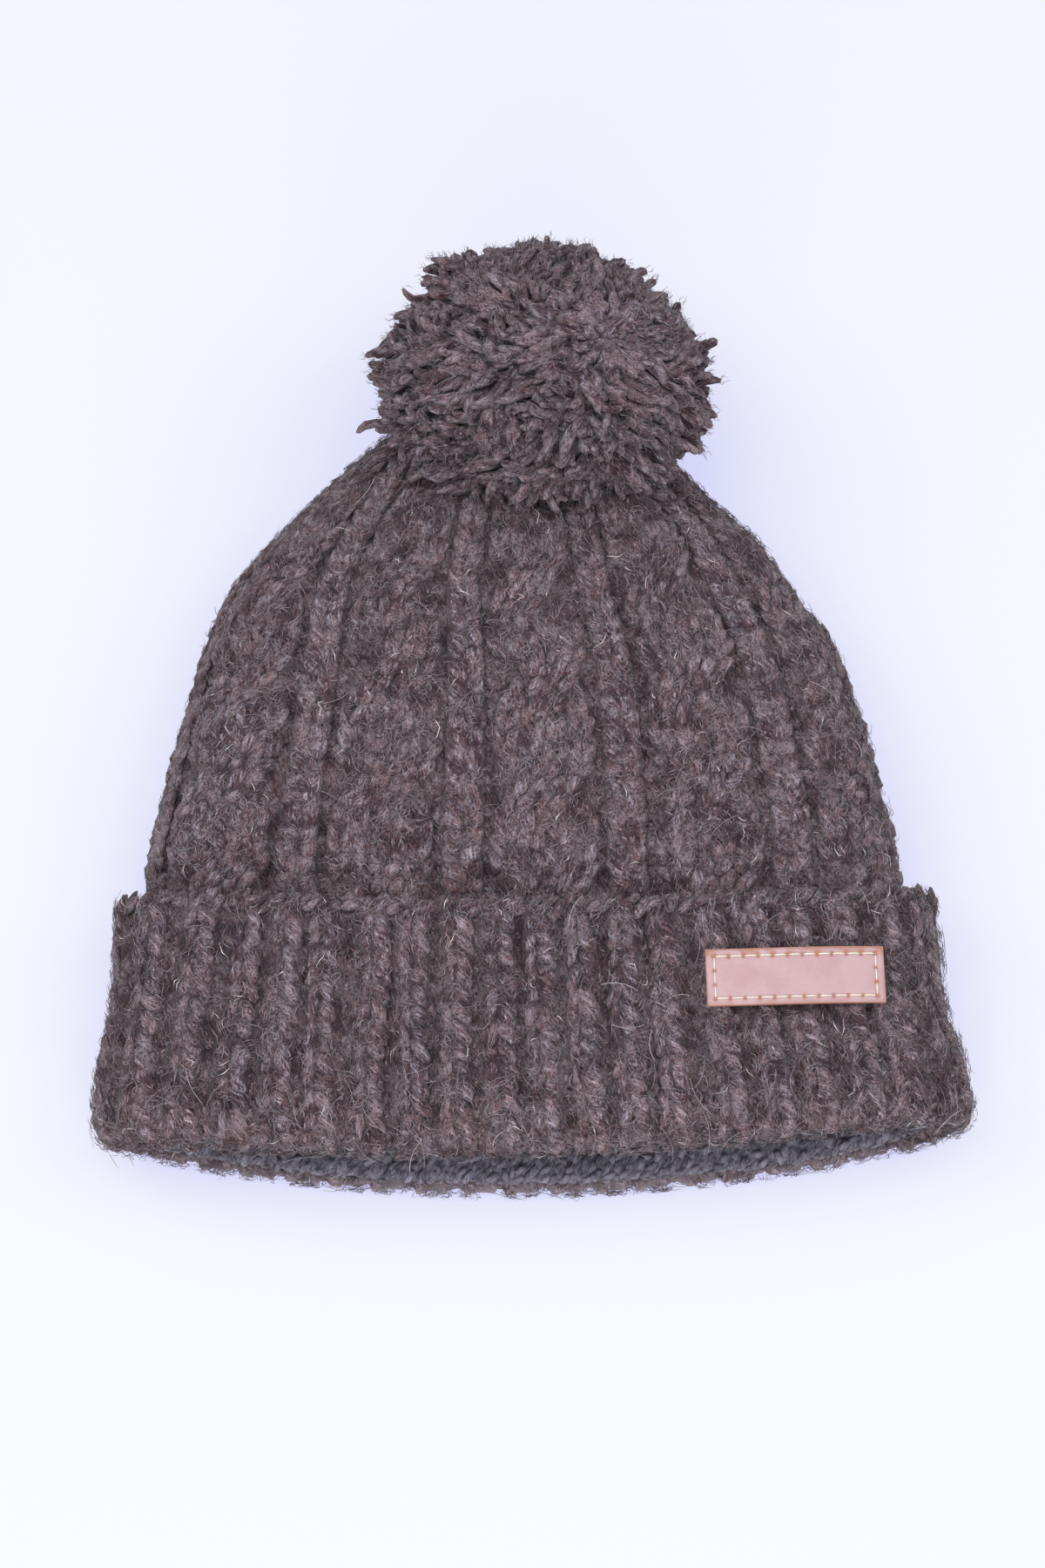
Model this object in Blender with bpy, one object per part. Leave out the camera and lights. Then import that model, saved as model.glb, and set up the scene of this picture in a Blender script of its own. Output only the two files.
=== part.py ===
"""Bobble hat lying on its back: a cabled crown, a turned-up ribbed cuff, a fleece lining,
a yarn pompom and a bare leather label. Lengths are in millimetres until a mesh is made.
+Y points from the rim to the pompom, +Z is up, and the floor is z = 0."""
import math
from types import SimpleNamespace

import bmesh
import bpy
import numpy as np
from mathutils import Vector, noise

# Driving dimensions
MM = 0.001
WALL = 5.5                 # thickness of the knit
FLEECE = 3.0               # thickness of the lining
LEATHER = 1.5              # thickness of the label
GAP = 0.3                  # clearance between neighbouring pieces
CROWN_EDGE = -118.0        # station of the crown's lower edge, inside the fold
CUFF_TOP = -57.0           # station of the turned-up cuff's upper edge
CUFF_STAND_OFF = 2.2       # how far the cuff's upper edge stands off the crown
CUFF_FLARE = 24.0          # length over which the cuff comes away from the crown
CABLES = 10                # cable panels round the crown
CABLE_PITCH = 30.0         # length of one oval between two crossings
CABLE_START = -39.0        # station of the first oval's middle
OVAL_HEIGHT = 0.9          # rise of an oval's middle, and fall of a crossing
RELIEF_FADE = 8.0          # length over which the relief starts above the cuff
GATHER_START = 78.0        # station where the dome's knit starts to gather
GATHER_LENGTH = 20.0
GATHER_LOSS = 0.45         # share of the relief that is lost where the knit is gathered
CABLE_PHASE = 0.011        # turn of the first cable's middle from the front's middle
RIB_DEPTH = 1.2            # ridge or groove from the cuff's mean face
LINING_DEPTH = 62.0        # how far the lining reaches in from its lower edge
LINING_START = -121.4      # station of the lining's lower edge
POMPOM_CENTRE = (2.2, 96.4, 42.0)
POMPOM_HALF = (48.2, 40.2, 42.0)
POMPOM_TAPER = 0.10        # the ball is wider towards the crown than at its far end
POMPOM_SWELL = 0.06        # broad unevenness of the ball, as a share of the radius
SWELL_SCALE = 3.1
LOCK_VALLEY = 0.84         # depth of the partings between locks, as a share of the radius
LOCK_UNEVENNESS = 0.035    # difference in length from lock to lock
LOCK_STEP = 12.9           # phase from one lock to the next
DENT_CLEARANCE = 3.0       # room between the crown's mean face and the pompom
LABEL_CENTRE = (73.0, -84.0)
LABEL_SIZE = (50.0, 17.0)
LABEL_TURN = 1.8           # degrees, right end towards the crown
LABEL_LIFT = 0.44          # rise of the flaring cuff under the label
ORIGIN = (-0.09, -0.71)    # centre of the hat's box in plan

# The crown's outer face, a row for each section from below the rim to the top of the dome.
# station is y at the two sides, and the bows carry the middle of each face towards the rim.
SECTION_COLUMNS = ("station", "middle_x", "half_width", "bottom", "top", "squareness",
                   "back_bow", "front_bow")
SECTIONS = (
    (-128.0, 0.2, 117.6, 4.5, 38.6, 9.0, 13.2, 7.2),
    (-118.0, 0.2, 118.6, 4.5, 38.8, 9.0, 13.2, 7.2),
    (-106.0, -0.6, 117.4, 4.5, 39.0, 9.0, 13.2, 7.0),
    (-92.0, -1.4, 114.0, 4.5, 39.2, 9.0, 13.2, 6.4),
    (-74.0, -1.4, 112.0, 4.5, 39.4, 9.0, 13.0, 5.6),
    (-58.0, -2.0, 109.2, 4.4, 40.0, 8.5, 12.0, 5.0),
    (-46.0, -2.6, 107.4, 1.8, 41.0, 8.0, 11.5, 5.0),
    (-34.0, -2.2, 106.0, -0.4, 42.2, 7.0, 10.5, 5.0),
    (-18.0, -2.4, 101.8, -1.0, 43.4, 6.5, 9.0, 4.8),
    (0.0, -2.4, 97.4, -1.0, 44.0, 6.0, 7.0, 4.2),
    (20.0, -3.8, 90.8, -1.0, 43.5, 6.0, 5.0, 3.4),
    (38.0, -5.8, 80.8, -1.0, 42.0, 6.0, 3.0, 2.4),
    (52.0, -5.2, 70.6, -0.8, 40.0, 5.5, 1.5, 1.4),
    (64.0, -5.6, 59.0, -0.2, 37.4, 5.0, 0.6, 0.6),
    (75.0, -5.4, 48.6, 0.8, 34.4, 4.5, 0.2, 0.2),
    (84.0, -4.4, 38.8, 2.4, 31.2, 4.0, 0.0, 0.0),
    (91.0, -3.2, 29.4, 4.6, 28.2, 3.5, 0.0, 0.0),
    (96.5, -2.4, 19.4, 7.6, 25.0, 3.0, 0.0, 0.0),
    (99.4, -2.0, 10.0, 11.2, 21.6, 2.4, 0.0, 0.0),
    (100.0, -2.0, 4.0, 14.0, 18.6, 2.0, 0.0, 0.0),
)
RIM_TILT = 0.028           # rise of the front rim from left to right
TILT_START = -60.0         # station where the tilt starts
TILT_LENGTH = 60.0
SECTION_SAMPLES = 1441
FRONT_TURNS = np.linspace(0.0, 0.22, 89)    # turns of the front face's right half

# Height of the knit over one cable panel, a value for each of its eight columns
PANEL = (
    ("cable edge", -0.3), ("cable", 1.3), ("cable middle", 1.7), ("cable", 1.3),
    ("cable edge", -0.3), ("purl", -1.8), ("knit rib", 0.7), ("purl", -1.8),
)
POINTS_ROUND = CABLES * len(PANEL)
# Rings that the crown, the cuff and the lining share where they lie on each other
SHARED_STATIONS = (CROWN_EDGE, -98.0, -79.0, -60.0)


def smooth_step(value):
    value = np.clip(value, 0.0, 1.0)
    return value * value * (3.0 - 2.0 * value)


def section_at(station):
    """Values of the section table at a station, on a smooth curve through its rows."""
    table = np.array(SECTIONS)
    stations = table[:, 0]
    slopes = np.gradient(table, stations, axis=0)
    row = int(np.clip(np.searchsorted(stations, station) - 1, 0, len(stations) - 2))
    span = stations[row + 1] - stations[row]
    t = (station - stations[row]) / span
    values = ((2 * t**3 - 3 * t**2 + 1) * table[row] + (3 * t**2 - 2 * t**3) * table[row + 1]
              + (t**3 - 2 * t**2 + t) * span * slopes[row] + (t**3 - t**2) * span * slopes[row + 1])
    return SimpleNamespace(**dict(zip(SECTION_COLUMNS, values)))


def hat_ring(station, turns):
    """Points of the crown's outer face at a station, by equal lengths round the section.
    A turn of 0 is the front's middle, 0.25 the right side and 0.5 the back's middle."""
    row = section_at(station)
    angle = np.linspace(0.0, 2.0 * math.pi, SECTION_SAMPLES)
    across = np.sign(np.sin(angle)) * np.abs(np.sin(angle)) ** (2.0 / row.squareness)
    x = row.middle_x + row.half_width * across
    half_height = 0.5 * (row.top - row.bottom)
    rise = np.sqrt(np.clip(1.0 - np.abs(across) ** row.squareness, 0.0, 1.0)) * np.sign(np.cos(angle))
    z = row.bottom + half_height * (1.0 + rise)
    length = np.concatenate(([0.0], np.cumsum(np.hypot(np.diff(x), np.diff(z)))))
    wanted = (np.asarray(turns) % 1.0) * length[-1]
    x = np.interp(wanted, length, x)
    z = np.interp(wanted, length, z)
    side = (x - row.middle_x) / row.half_width
    front = (z - row.bottom) / (2.0 * half_height)
    bow = (1.0 - front) * row.back_bow + front * row.front_bow
    tilt = RIM_TILT * front * smooth_step((TILT_START - station) / TILT_LENGTH)
    y = station - bow * (1.0 - side * side) + tilt * x
    return np.stack((x, y, z), axis=1)


def hat_points(station, turns, offset):
    """The same points moved out of the crown's face along its normals."""
    step = 0.25
    turns = np.asarray(turns)
    turn_step = 0.0015
    low = max(station - step, SECTIONS[0][0])
    high = min(station + step, SECTIONS[-1][0])
    along = hat_ring(high, turns) - hat_ring(low, turns)
    around = hat_ring(station, turns + turn_step) - hat_ring(station, turns - turn_step)
    normal = np.cross(around, along)
    normal /= np.linalg.norm(normal, axis=1)[:, None]
    return hat_ring(station, turns) + np.asarray(offset).reshape(-1, 1) * normal


def round_turns():
    """Turns of the columns that the crown, the cuff and the lining share."""
    return (np.arange(POINTS_ROUND) - 2.0) / POINTS_ROUND + CABLE_PHASE


def crown_relief(station):
    """Cables, purl gutters and ribs, as heights over the crown's mean face."""
    heights = np.array([height for _, height in PANEL])
    middle = smooth_step(1.0 - np.abs(np.arange(len(PANEL)) - 2.0) / 3.0)
    oval = math.cos(2.0 * math.pi * (station - CABLE_START) / CABLE_PITCH)
    relief = np.tile(heights + OVAL_HEIGHT * oval * middle, CABLES)
    shown = smooth_step((station - CUFF_TOP) / RELIEF_FADE)
    gathered = 1.0 - GATHER_LOSS * smooth_step((station - GATHER_START) / GATHER_LENGTH)
    return relief * shown * gathered


def on_floor(points):
    """Cloth that would reach below the floor is pressed flat on it."""
    points = points.copy()
    points[:, 2] = np.maximum(points[:, 2], 0.0)
    return points


def new_object(name, mesh, colour, roughness):
    """An object in the hat's collection, with its own plain material."""
    made = bpy.data.objects.new(name, mesh)
    material = bpy.data.materials.new(name)
    material.use_nodes = True
    shader = material.node_tree.nodes["Principled BSDF"]
    shader.inputs["Base Color"].default_value = (*colour, 1.0)
    shader.inputs["Roughness"].default_value = roughness
    shader.inputs["Metallic"].default_value = 0.0
    mesh.materials.append(material)
    bpy.data.collections["bobble_hat"].objects.link(made)
    return made


def loft(name, rings, ends):
    """A closed skin through rings of equal counts. ends is "joined" where the last ring
    meets the first, or "capped" where each end closes on the middle of its ring.
    Every cell is split the same way, so that skins on each other keep their gap."""
    shell = bmesh.new()
    rows = [[shell.verts.new(Vector(point) * MM) for point in ring] for ring in rings]
    count = len(rows[0])
    pairs = list(zip(rows, rows[1:]))
    if ends == "joined":
        pairs.append((rows[-1], rows[0]))
    for first, second in pairs:
        by_station = sorted((first, second), key=lambda row: sum(vert.co.y for vert in row))
        low, high = by_station
        for i in range(count):
            j = (i + 1) % count
            shell.faces.new((low[i], low[j], high[j]))
            shell.faces.new((low[i], high[j], high[i]))
    if ends == "capped":
        for row, ring in ((rows[0], rings[0]), (rows[-1], rings[-1])):
            hub = shell.verts.new(Vector(ring.mean(axis=0)) * MM)
            for i in range(count):
                shell.faces.new((row[i], row[(i + 1) % count], hub))
    bmesh.ops.recalc_face_normals(shell, faces=shell.faces)
    mesh = bpy.data.meshes.new(name)
    shell.to_mesh(mesh)
    shell.free()
    return mesh


def make_crown():
    """Knit tube and dome: inner face from the closed top down to the edge, outer face back up."""
    turns = round_turns()
    inner_stations = (87.0, 74.0, 52.0, 22.0, -18.0) + SHARED_STATIONS[::-1]
    shown_stations = (CUFF_TOP, -48.0, -39.0, -29.0, -19.0, -9.0, 1.0, 11.0, 21.0, 31.0, 41.0, 51.0,
                      61.0, 71.0, 81.0, 88.5, 94.0, 97.5, 99.6)
    rings = [hat_points(station, turns, -WALL) for station in inner_stations]
    rings += [on_floor(hat_points(station, turns, 0.0)) for station in SHARED_STATIONS]
    rings += [on_floor(hat_points(station, turns, crown_relief(station))) for station in shown_stations]
    return new_object("crown", loft("crown", rings, "capped"), (0.115, 0.084, 0.099), 0.95)


def cuff_lift(station):
    return CUFF_STAND_OFF * smooth_step((station - CUFF_TOP + CUFF_FLARE) / CUFF_FLARE)


def make_cuff():
    """Ribbed band outside the crown. Its foot wraps under the crown's edge as a round fold."""
    turns = round_turns()
    rib = RIB_DEPTH * np.where(np.arange(POINTS_ROUND) % 2 == 0, 1.0, -1.0)
    rings = []

    def add(station, offset, rib_share):
        points = hat_points(station, turns, offset + rib * rib_share)
        rings.append(on_floor(points))

    top_lift = cuff_lift(CUFF_TOP)
    add(CUFF_TOP - 1.2, top_lift + GAP + 0.8, 0.0)
    for station in SHARED_STATIONS[:0:-1]:
        add(station, cuff_lift(station) + GAP, 0.0)
    add(CROWN_EDGE - GAP, GAP, 0.0)
    add(CROWN_EDGE - GAP, -WALL, 0.0)
    fold_radius = WALL + 0.5 * GAP
    for degrees in (200.0, 235.0, 270.0, 305.0, 340.0):
        angle = math.radians(degrees)
        across = 0.5 * GAP + fold_radius * math.cos(angle)
        station = CROWN_EDGE - GAP - 0.8 + fold_radius * math.sin(angle)
        add(station, across, 0.45 * (1.0 + math.cos(angle)))
    for station in (-112.0, -100.0, -88.0, -76.0, -66.0):
        add(station, cuff_lift(station) + GAP + WALL, 1.0)
    add(CUFF_TOP - 2.6, top_lift + GAP + WALL, 0.9)
    add(CUFF_TOP - 0.6, top_lift + GAP + 0.72 * WALL, 0.5)
    add(CUFF_TOP, top_lift + GAP + 0.4 * WALL, 0.2)
    return new_object("cuff", loft("cuff", rings, "joined"), (0.114, 0.084, 0.097), 0.95)


def make_lining_band():
    """Fleece ring against the crown's inner face, starting just inside the fold."""
    turns = round_turns()
    outer = -WALL - GAP
    inner = outer - FLEECE
    end = LINING_START + LINING_DEPTH
    outer_stations = (LINING_START + 1.0,) + SHARED_STATIONS
    rings = [hat_points(station, turns, outer) for station in outer_stations]
    rings.append(hat_points(end, turns, 0.5 * (outer + inner)))
    inner_stations = (SHARED_STATIONS[-1], -87.0, outer_stations[0])
    rings += [hat_points(station, turns, inner) for station in inner_stations]
    rings.append(hat_points(LINING_START, turns, 0.5 * (outer + inner)))
    return new_object("lining_band", loft("lining_band", rings, "joined"), (0.093, 0.087, 0.107), 1.0)


def dent_cutter():
    """The crown's dome, a little larger all round, which presses into the pompom."""
    turns = round_turns()[::2]
    stations = (40.0, 62.0, 78.0, 89.0, 96.0, 99.4)
    rings = [hat_points(station, turns, DENT_CLEARANCE) for station in stations]
    cutter = bpy.data.objects.new("dent_cutter", loft("dent_cutter", rings, "capped"))
    cutter.hide_render = True
    cutter.display_type = "WIRE"
    bpy.data.collections["cutters"].objects.link(cutter)
    return cutter


def make_pompom():
    """A ball of pointed yarn locks on one core, flat where it meets the floor and dented
    where it lies on the crown."""
    ball = bmesh.new()
    bmesh.ops.create_icosphere(ball, subdivisions=3, radius=1.0)
    tips = len(ball.verts)
    bmesh.ops.poke(ball, faces=ball.faces)
    ball.verts.ensure_lookup_table()
    for number, vert in enumerate(ball.verts):
        direction = vert.co.normalized()
        length = 1.0 + POMPOM_SWELL * noise.noise(direction * SWELL_SCALE)
        length += LOCK_UNEVENNESS * math.sin(LOCK_STEP * number)
        if number >= tips:
            length *= LOCK_VALLEY
        radius = Vector(POMPOM_HALF) * length
        radius.x *= 1.0 - POMPOM_TAPER * direction.y
        point = Vector(POMPOM_CENTRE) + Vector([radius[i] * direction[i] for i in range(3)])
        point.z = max(point.z, 0.0)
        vert.co = point * MM
    mesh = bpy.data.meshes.new("pompom")
    ball.to_mesh(mesh)
    ball.free()
    pompom = new_object("pompom", mesh, (0.112, 0.084, 0.097), 1.0)
    dent = pompom.modifiers.new("dent", "BOOLEAN")
    dent.operation = "DIFFERENCE"
    dent.solver = "EXACT"
    dent.object = dent_cutter()
    return pompom


def front_point(x, y, offset):
    """The point at this offset from the front face that has this x and y."""
    station = y
    for _ in range(4):
        points = hat_points(station, FRONT_TURNS, offset)
        turn = np.interp(x, points[:, 0], FRONT_TURNS)
        point = hat_points(station, [turn], offset)[0]
        station += y - point[1]
    return point


def make_label_patch():
    """A leather rectangle lying on the cuff's ridges and following their curve."""
    columns, rows = 10, 3
    length, height = LABEL_SIZE
    turn = math.radians(LABEL_TURN)
    under = LABEL_LIFT + GAP + WALL + RIB_DEPTH + GAP

    def face(offset):
        points = []
        for row in range(rows + 1):
            for column in range(columns + 1):
                along = length * (column / columns - 0.5)
                up = height * (row / rows - 0.5)
                x = LABEL_CENTRE[0] + along * math.cos(turn) - up * math.sin(turn)
                y = LABEL_CENTRE[1] + along * math.sin(turn) + up * math.cos(turn)
                points.append(front_point(x, y, offset))
        return points

    patch = bmesh.new()
    lower = [patch.verts.new(Vector(point) * MM) for point in face(under)]
    upper = [patch.verts.new(Vector(point) * MM) for point in face(under + LEATHER)]
    wide = columns + 1
    for row in range(rows):
        for column in range(columns):
            a = row * wide + column
            patch.faces.new((upper[a], upper[a + 1], upper[a + wide + 1], upper[a + wide]))
            patch.faces.new((lower[a], lower[a + wide], lower[a + wide + 1], lower[a + 1]))
    border = [(c, c + 1) for c in range(columns)]
    border += [(r * wide + columns, (r + 1) * wide + columns) for r in range(rows)]
    border += [(rows * wide + c + 1, rows * wide + c) for c in reversed(range(columns))]
    border += [((r + 1) * wide, r * wide) for r in reversed(range(rows))]
    for a, b in border:
        patch.faces.new((lower[a], lower[b], upper[b], upper[a]))
    bmesh.ops.recalc_face_normals(patch, faces=patch.faces)
    mesh = bpy.data.meshes.new("label_patch")
    patch.to_mesh(mesh)
    patch.free()
    return new_object("label_patch", mesh, (0.66, 0.45, 0.47), 0.6)


def main():
    for old in list(bpy.data.objects):
        bpy.data.objects.remove(old, do_unlink=True)
    for name in ("bobble_hat", "cutters"):
        collection = bpy.data.collections.new(name)
        bpy.context.scene.collection.children.link(collection)
    frame = bpy.data.objects.new("hat_frame", None)
    bpy.data.collections["bobble_hat"].objects.link(frame)
    pieces = [make_crown(), make_cuff(), make_lining_band(), make_pompom(), make_label_patch()]
    for piece in pieces + list(bpy.data.collections["cutters"].objects):
        piece.parent = frame
    frame.location = (-ORIGIN[0] * MM, -ORIGIN[1] * MM, 0.0)


main()
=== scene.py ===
"""Looks of a bobble hat lying on its back: knit stitches, fleece loops, a yarn pompom, a sewn
leather label and stray wool. Lengths on the hat are in millimetres until a mesh is made."""
import itertools
import math
from types import SimpleNamespace

import bmesh
import bpy
import numpy as np
from bpy.props import FloatProperty, FloatVectorProperty, IntProperty, PointerProperty
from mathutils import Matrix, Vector, noise


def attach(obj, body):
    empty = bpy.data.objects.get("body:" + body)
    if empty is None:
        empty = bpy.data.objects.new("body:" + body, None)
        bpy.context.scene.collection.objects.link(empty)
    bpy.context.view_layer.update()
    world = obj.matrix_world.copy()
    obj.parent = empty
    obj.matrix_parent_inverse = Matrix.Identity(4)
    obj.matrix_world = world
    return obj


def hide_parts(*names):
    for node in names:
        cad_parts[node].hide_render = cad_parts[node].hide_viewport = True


bl_info = {
    "name": "Bobble hat",
    "version": (1, 0, 0),
    "blender": (4, 5, 0),
    "location": "3D View > Sidebar > Hat",
    "description": "Knits, lines and trims a bobble hat on its packed solids",
    "category": "Add Mesh",
}

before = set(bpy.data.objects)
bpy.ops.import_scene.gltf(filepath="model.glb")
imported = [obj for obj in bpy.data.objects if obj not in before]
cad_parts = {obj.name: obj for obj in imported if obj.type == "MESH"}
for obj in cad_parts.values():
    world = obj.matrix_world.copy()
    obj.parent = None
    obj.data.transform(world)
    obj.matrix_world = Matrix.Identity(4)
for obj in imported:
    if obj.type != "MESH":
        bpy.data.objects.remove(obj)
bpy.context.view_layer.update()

MM = 0.001
FLOOR_HALF = 4.0
SENSOR_WIDTH = 36.0
SKY = (0.95, 0.965, 1.0, 1.0)
LAMP = (1.0, 0.985, 0.97)

# Form of the hat
WALL = 5.5
FLEECE = 3.0
GAP = 0.3
CROWN_EDGE = -118.0
CUFF_TOP = -57.0
CUFF_STAND_OFF = 2.2
CUFF_FLARE = 24.0
FOLD_END = 18.0
CABLES = 10
CABLE_PITCH = 30.0
CABLE_START = -39.0
CABLE_PHASE = 0.014
RIBS = 40
RIB_PHASE = 0.007
LINING_DEPTH = 62.0
LINING_START = -122.4
LINING_FACE = -WALL - GAP
POMPOM_CENTRE = np.array((2.2, 96.4, 42.0))
POMPOM_HALF = (48.2, 40.2, 42.0)
POMPOM_TAPER = 0.10
LABEL_CENTRE = (73.0, -83.6)
LABEL_SIZE = (50.0, 16.1)
LABEL_THICKNESS = 1.5
LABEL_TURN = math.radians(1.8)
LABEL_STAND_OFF = 1.2
LABEL_INSET = (2.4, 2.1)
LABEL_HOLES = (12, 4)
ORIGIN = (-0.09, -0.71, 0.0)
SECTION_COLUMNS = ("station", "middle_x", "half_width", "bottom", "top", "squareness",
                   "back_bow", "front_bow")
SECTIONS = (
    (-128.0, 0.2, 117.6, 4.5, 38.6, 9.0, 13.2, 7.2),
    (-118.0, 0.2, 118.6, 4.5, 38.8, 9.0, 13.2, 7.2),
    (-106.0, -0.6, 117.4, 4.5, 39.0, 9.0, 13.2, 7.0),
    (-92.0, -1.4, 114.0, 4.5, 39.2, 9.0, 13.2, 6.4),
    (-74.0, -1.4, 112.0, 4.5, 39.4, 9.0, 13.0, 5.6),
    (-58.0, -2.0, 109.2, 4.4, 40.0, 8.5, 12.0, 5.0),
    (-46.0, -3.5, 108.3, 1.8, 41.0, 8.0, 11.5, 5.0),
    (-34.0, -3.1, 106.9, -0.4, 42.2, 7.0, 10.5, 5.0),
    (-18.0, -3.3, 102.7, -1.0, 43.4, 6.5, 9.0, 4.8),
    (0.0, -3.3, 98.3, -1.0, 44.0, 6.0, 7.0, 4.2),
    (20.0, -4.7, 91.7, -1.0, 43.5, 6.0, 5.0, 3.4),
    (38.0, -6.7, 81.7, -1.0, 42.0, 6.0, 3.0, 2.4),
    (52.0, -6.1, 71.5, -0.8, 40.0, 5.5, 1.5, 1.4),
    (64.0, -6.5, 59.9, -0.2, 37.4, 5.0, 0.6, 0.6),
    (75.0, -6.3, 49.5, 0.8, 34.4, 4.5, 0.2, 0.2),
    (84.0, -5.3, 39.7, 2.4, 31.2, 4.0, 0.0, 0.0),
    (91.0, -4.1, 30.3, 4.6, 28.2, 3.5, 0.0, 0.0),
    (96.5, -3.3, 20.3, 7.6, 25.0, 3.0, 0.0, 0.0),
    (99.4, -2.3, 10.3, 11.2, 21.6, 2.4, 0.0, 0.0),
    (100.0, -2.3, 4.3, 14.0, 18.6, 2.0, 0.0, 0.0),
)
RIM_TILT = 0.028
BACK_TILT = 0.013
TILT_LENGTH = 60.0
CUFF_DROP = 0.014
DROP_LENGTH = 30.0

# Places round the hat in its sections, its sheets and its grounds
RING_SAMPLES = 1441
SHEET_COLUMNS = 960
CROWN_COLUMNS = 260
CUFF_COLUMNS = 320
LINING_COLUMNS = 240
LINING_LOOPS = 150
EDGE_STITCHES = 104

# Shares of a cable panel, from its middle outwards
CABLE_HALF = 0.315
RIB_HALF = 0.12
CROSSING = 0.80

# Relief of the knit's ground, and how its stitches lie
CROWN_GROUND = -3.7
CABLE_RISE = 2.2
CABLE_DOME = 1.0
RIB_RISE = 1.7
CUFF_GROUND = -0.75
GROOVE_DEPTH = 2.7
FOLD_LENGTH = 0.58
PURL_LEAN = 0.5 * math.pi
LEG_DRIFT = 0.07

# Sizes of a stitch's leg, a pompom's yarn end, a sewing stitch, and the yarn map on them
LEG_LENGTH = 8.2
LEG_WIDTH = 3.3
END_LENGTH = 13.0
THREAD_LENGTH = 4.25
YARN_ROUND = 9.4
YARN_LENGTH = 8.0

# The pompom's tie, the pull of its locks, its core, how far its ends may reach into the crown
# and down, the three readings of its swirl, and its single stray ends
STAR = np.array((0.39, -0.05, 0.92))
LOCK_PULL = 0.13
CORE_SHARE = 0.89
DEEPEST_TIP = -6.0
LOWEST_TIP = -9.0
SWIRL_SHIFTS = ((3.1, 7.7, 1.3), (17.3, 5.1, 9.7), (4.9, 23.7, 13.1))
STRAY_TIPS = ((-52.5, 79.0, 43.0), (-47.0, 84.0, 30.0), (54.0, 83.0, 45.0), (48.5, 70.0, 50.0),
              (45.0, 73.0, 38.0), (-39.0, 124.5, 40.0), (34.0, 129.0, 45.0), (24.0, 132.0, 36.0))


class KnitSettings(bpy.types.PropertyGroup):
    """Sizes of the stitches."""
    row: FloatProperty(name="Row", description="Height of one knitted row", default=5.0 * MM, unit="LENGTH")
    leg_length: FloatProperty(name="Leg length", description="Length of one leg of a stitch",
                              default=LEG_LENGTH * MM, unit="LENGTH")
    leg_thickness: FloatProperty(name="Leg thickness", description="Thickness of the yarn in a stitch",
                                 default=2.4 * MM, unit="LENGTH")
    lean: FloatProperty(name="Lean", description="Slant of a stitch's legs", default=math.radians(19.0),
                        unit="ROTATION")
    seed: IntProperty(name="Seed", description="Seed of the unevenness of the knitting", default=4)


class WoolSettings(bpy.types.PropertyGroup):
    """Colours of the heathered wool and of the fleece."""
    deep: FloatVectorProperty(name="Deep", description="Darkest fibres", subtype="COLOR",
                              default=(0.025, 0.010, 0.016), min=0.0, max=1.0)
    brown: FloatVectorProperty(name="Brown", description="Main brown fibres", subtype="COLOR",
                               default=(0.0545, 0.0320, 0.0425), min=0.0, max=1.0)
    pale: FloatVectorProperty(name="Pale", description="Pale grey fibres", subtype="COLOR",
                              default=(0.230, 0.193, 0.223), min=0.0, max=1.0)
    rust: FloatVectorProperty(name="Rust", description="Reddish fibres", subtype="COLOR",
                              default=(0.118, 0.060, 0.058), min=0.0, max=1.0)
    fleece_deep: FloatVectorProperty(name="Fleece deep", description="Darkest fleece", subtype="COLOR",
                                     default=(0.046, 0.042, 0.058), min=0.0, max=1.0)
    fleece: FloatVectorProperty(name="Fleece", description="Main fleece colour", subtype="COLOR",
                                default=(0.176, 0.166, 0.208), min=0.0, max=1.0)
    felt: IntProperty(name="Felt", description="Short fibres that lie on the knit in tufts", default=40000)
    curls: IntProperty(name="Curls", description="Curled fibres that stand off the knit", default=8000)


class PompomSettings(bpy.types.PropertyGroup):
    """Sizes of the pompom's yarn ends."""
    strands: IntProperty(name="Strands", description="Yarn ends that show", default=2900)
    flat: IntProperty(name="Flat strands", description="Long yarn ends that lie flat round the tie",
                      default=44)
    thickness: FloatProperty(name="Thickness", description="Thickness of a yarn end", default=3.0 * MM,
                             unit="LENGTH")
    locks: IntProperty(name="Locks", description="Locks that the yarn ends gather into", default=170)
    seed: IntProperty(name="Seed", description="Seed of the unevenness of the ball", default=11)


class LabelSettings(bpy.types.PropertyGroup):
    """Colours of the sewn label."""
    leather: FloatVectorProperty(name="Leather", description="Face of the leather", subtype="COLOR",
                                 default=(0.450, 0.298, 0.322), min=0.0, max=1.0)
    edge: FloatVectorProperty(name="Edge", description="Edges and holes of the leather", subtype="COLOR",
                              default=(0.330, 0.135, 0.075), min=0.0, max=1.0)
    thread: FloatVectorProperty(name="Thread", description="Sewing thread", subtype="COLOR",
                                default=(0.860, 0.780, 0.660), min=0.0, max=1.0)


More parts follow.
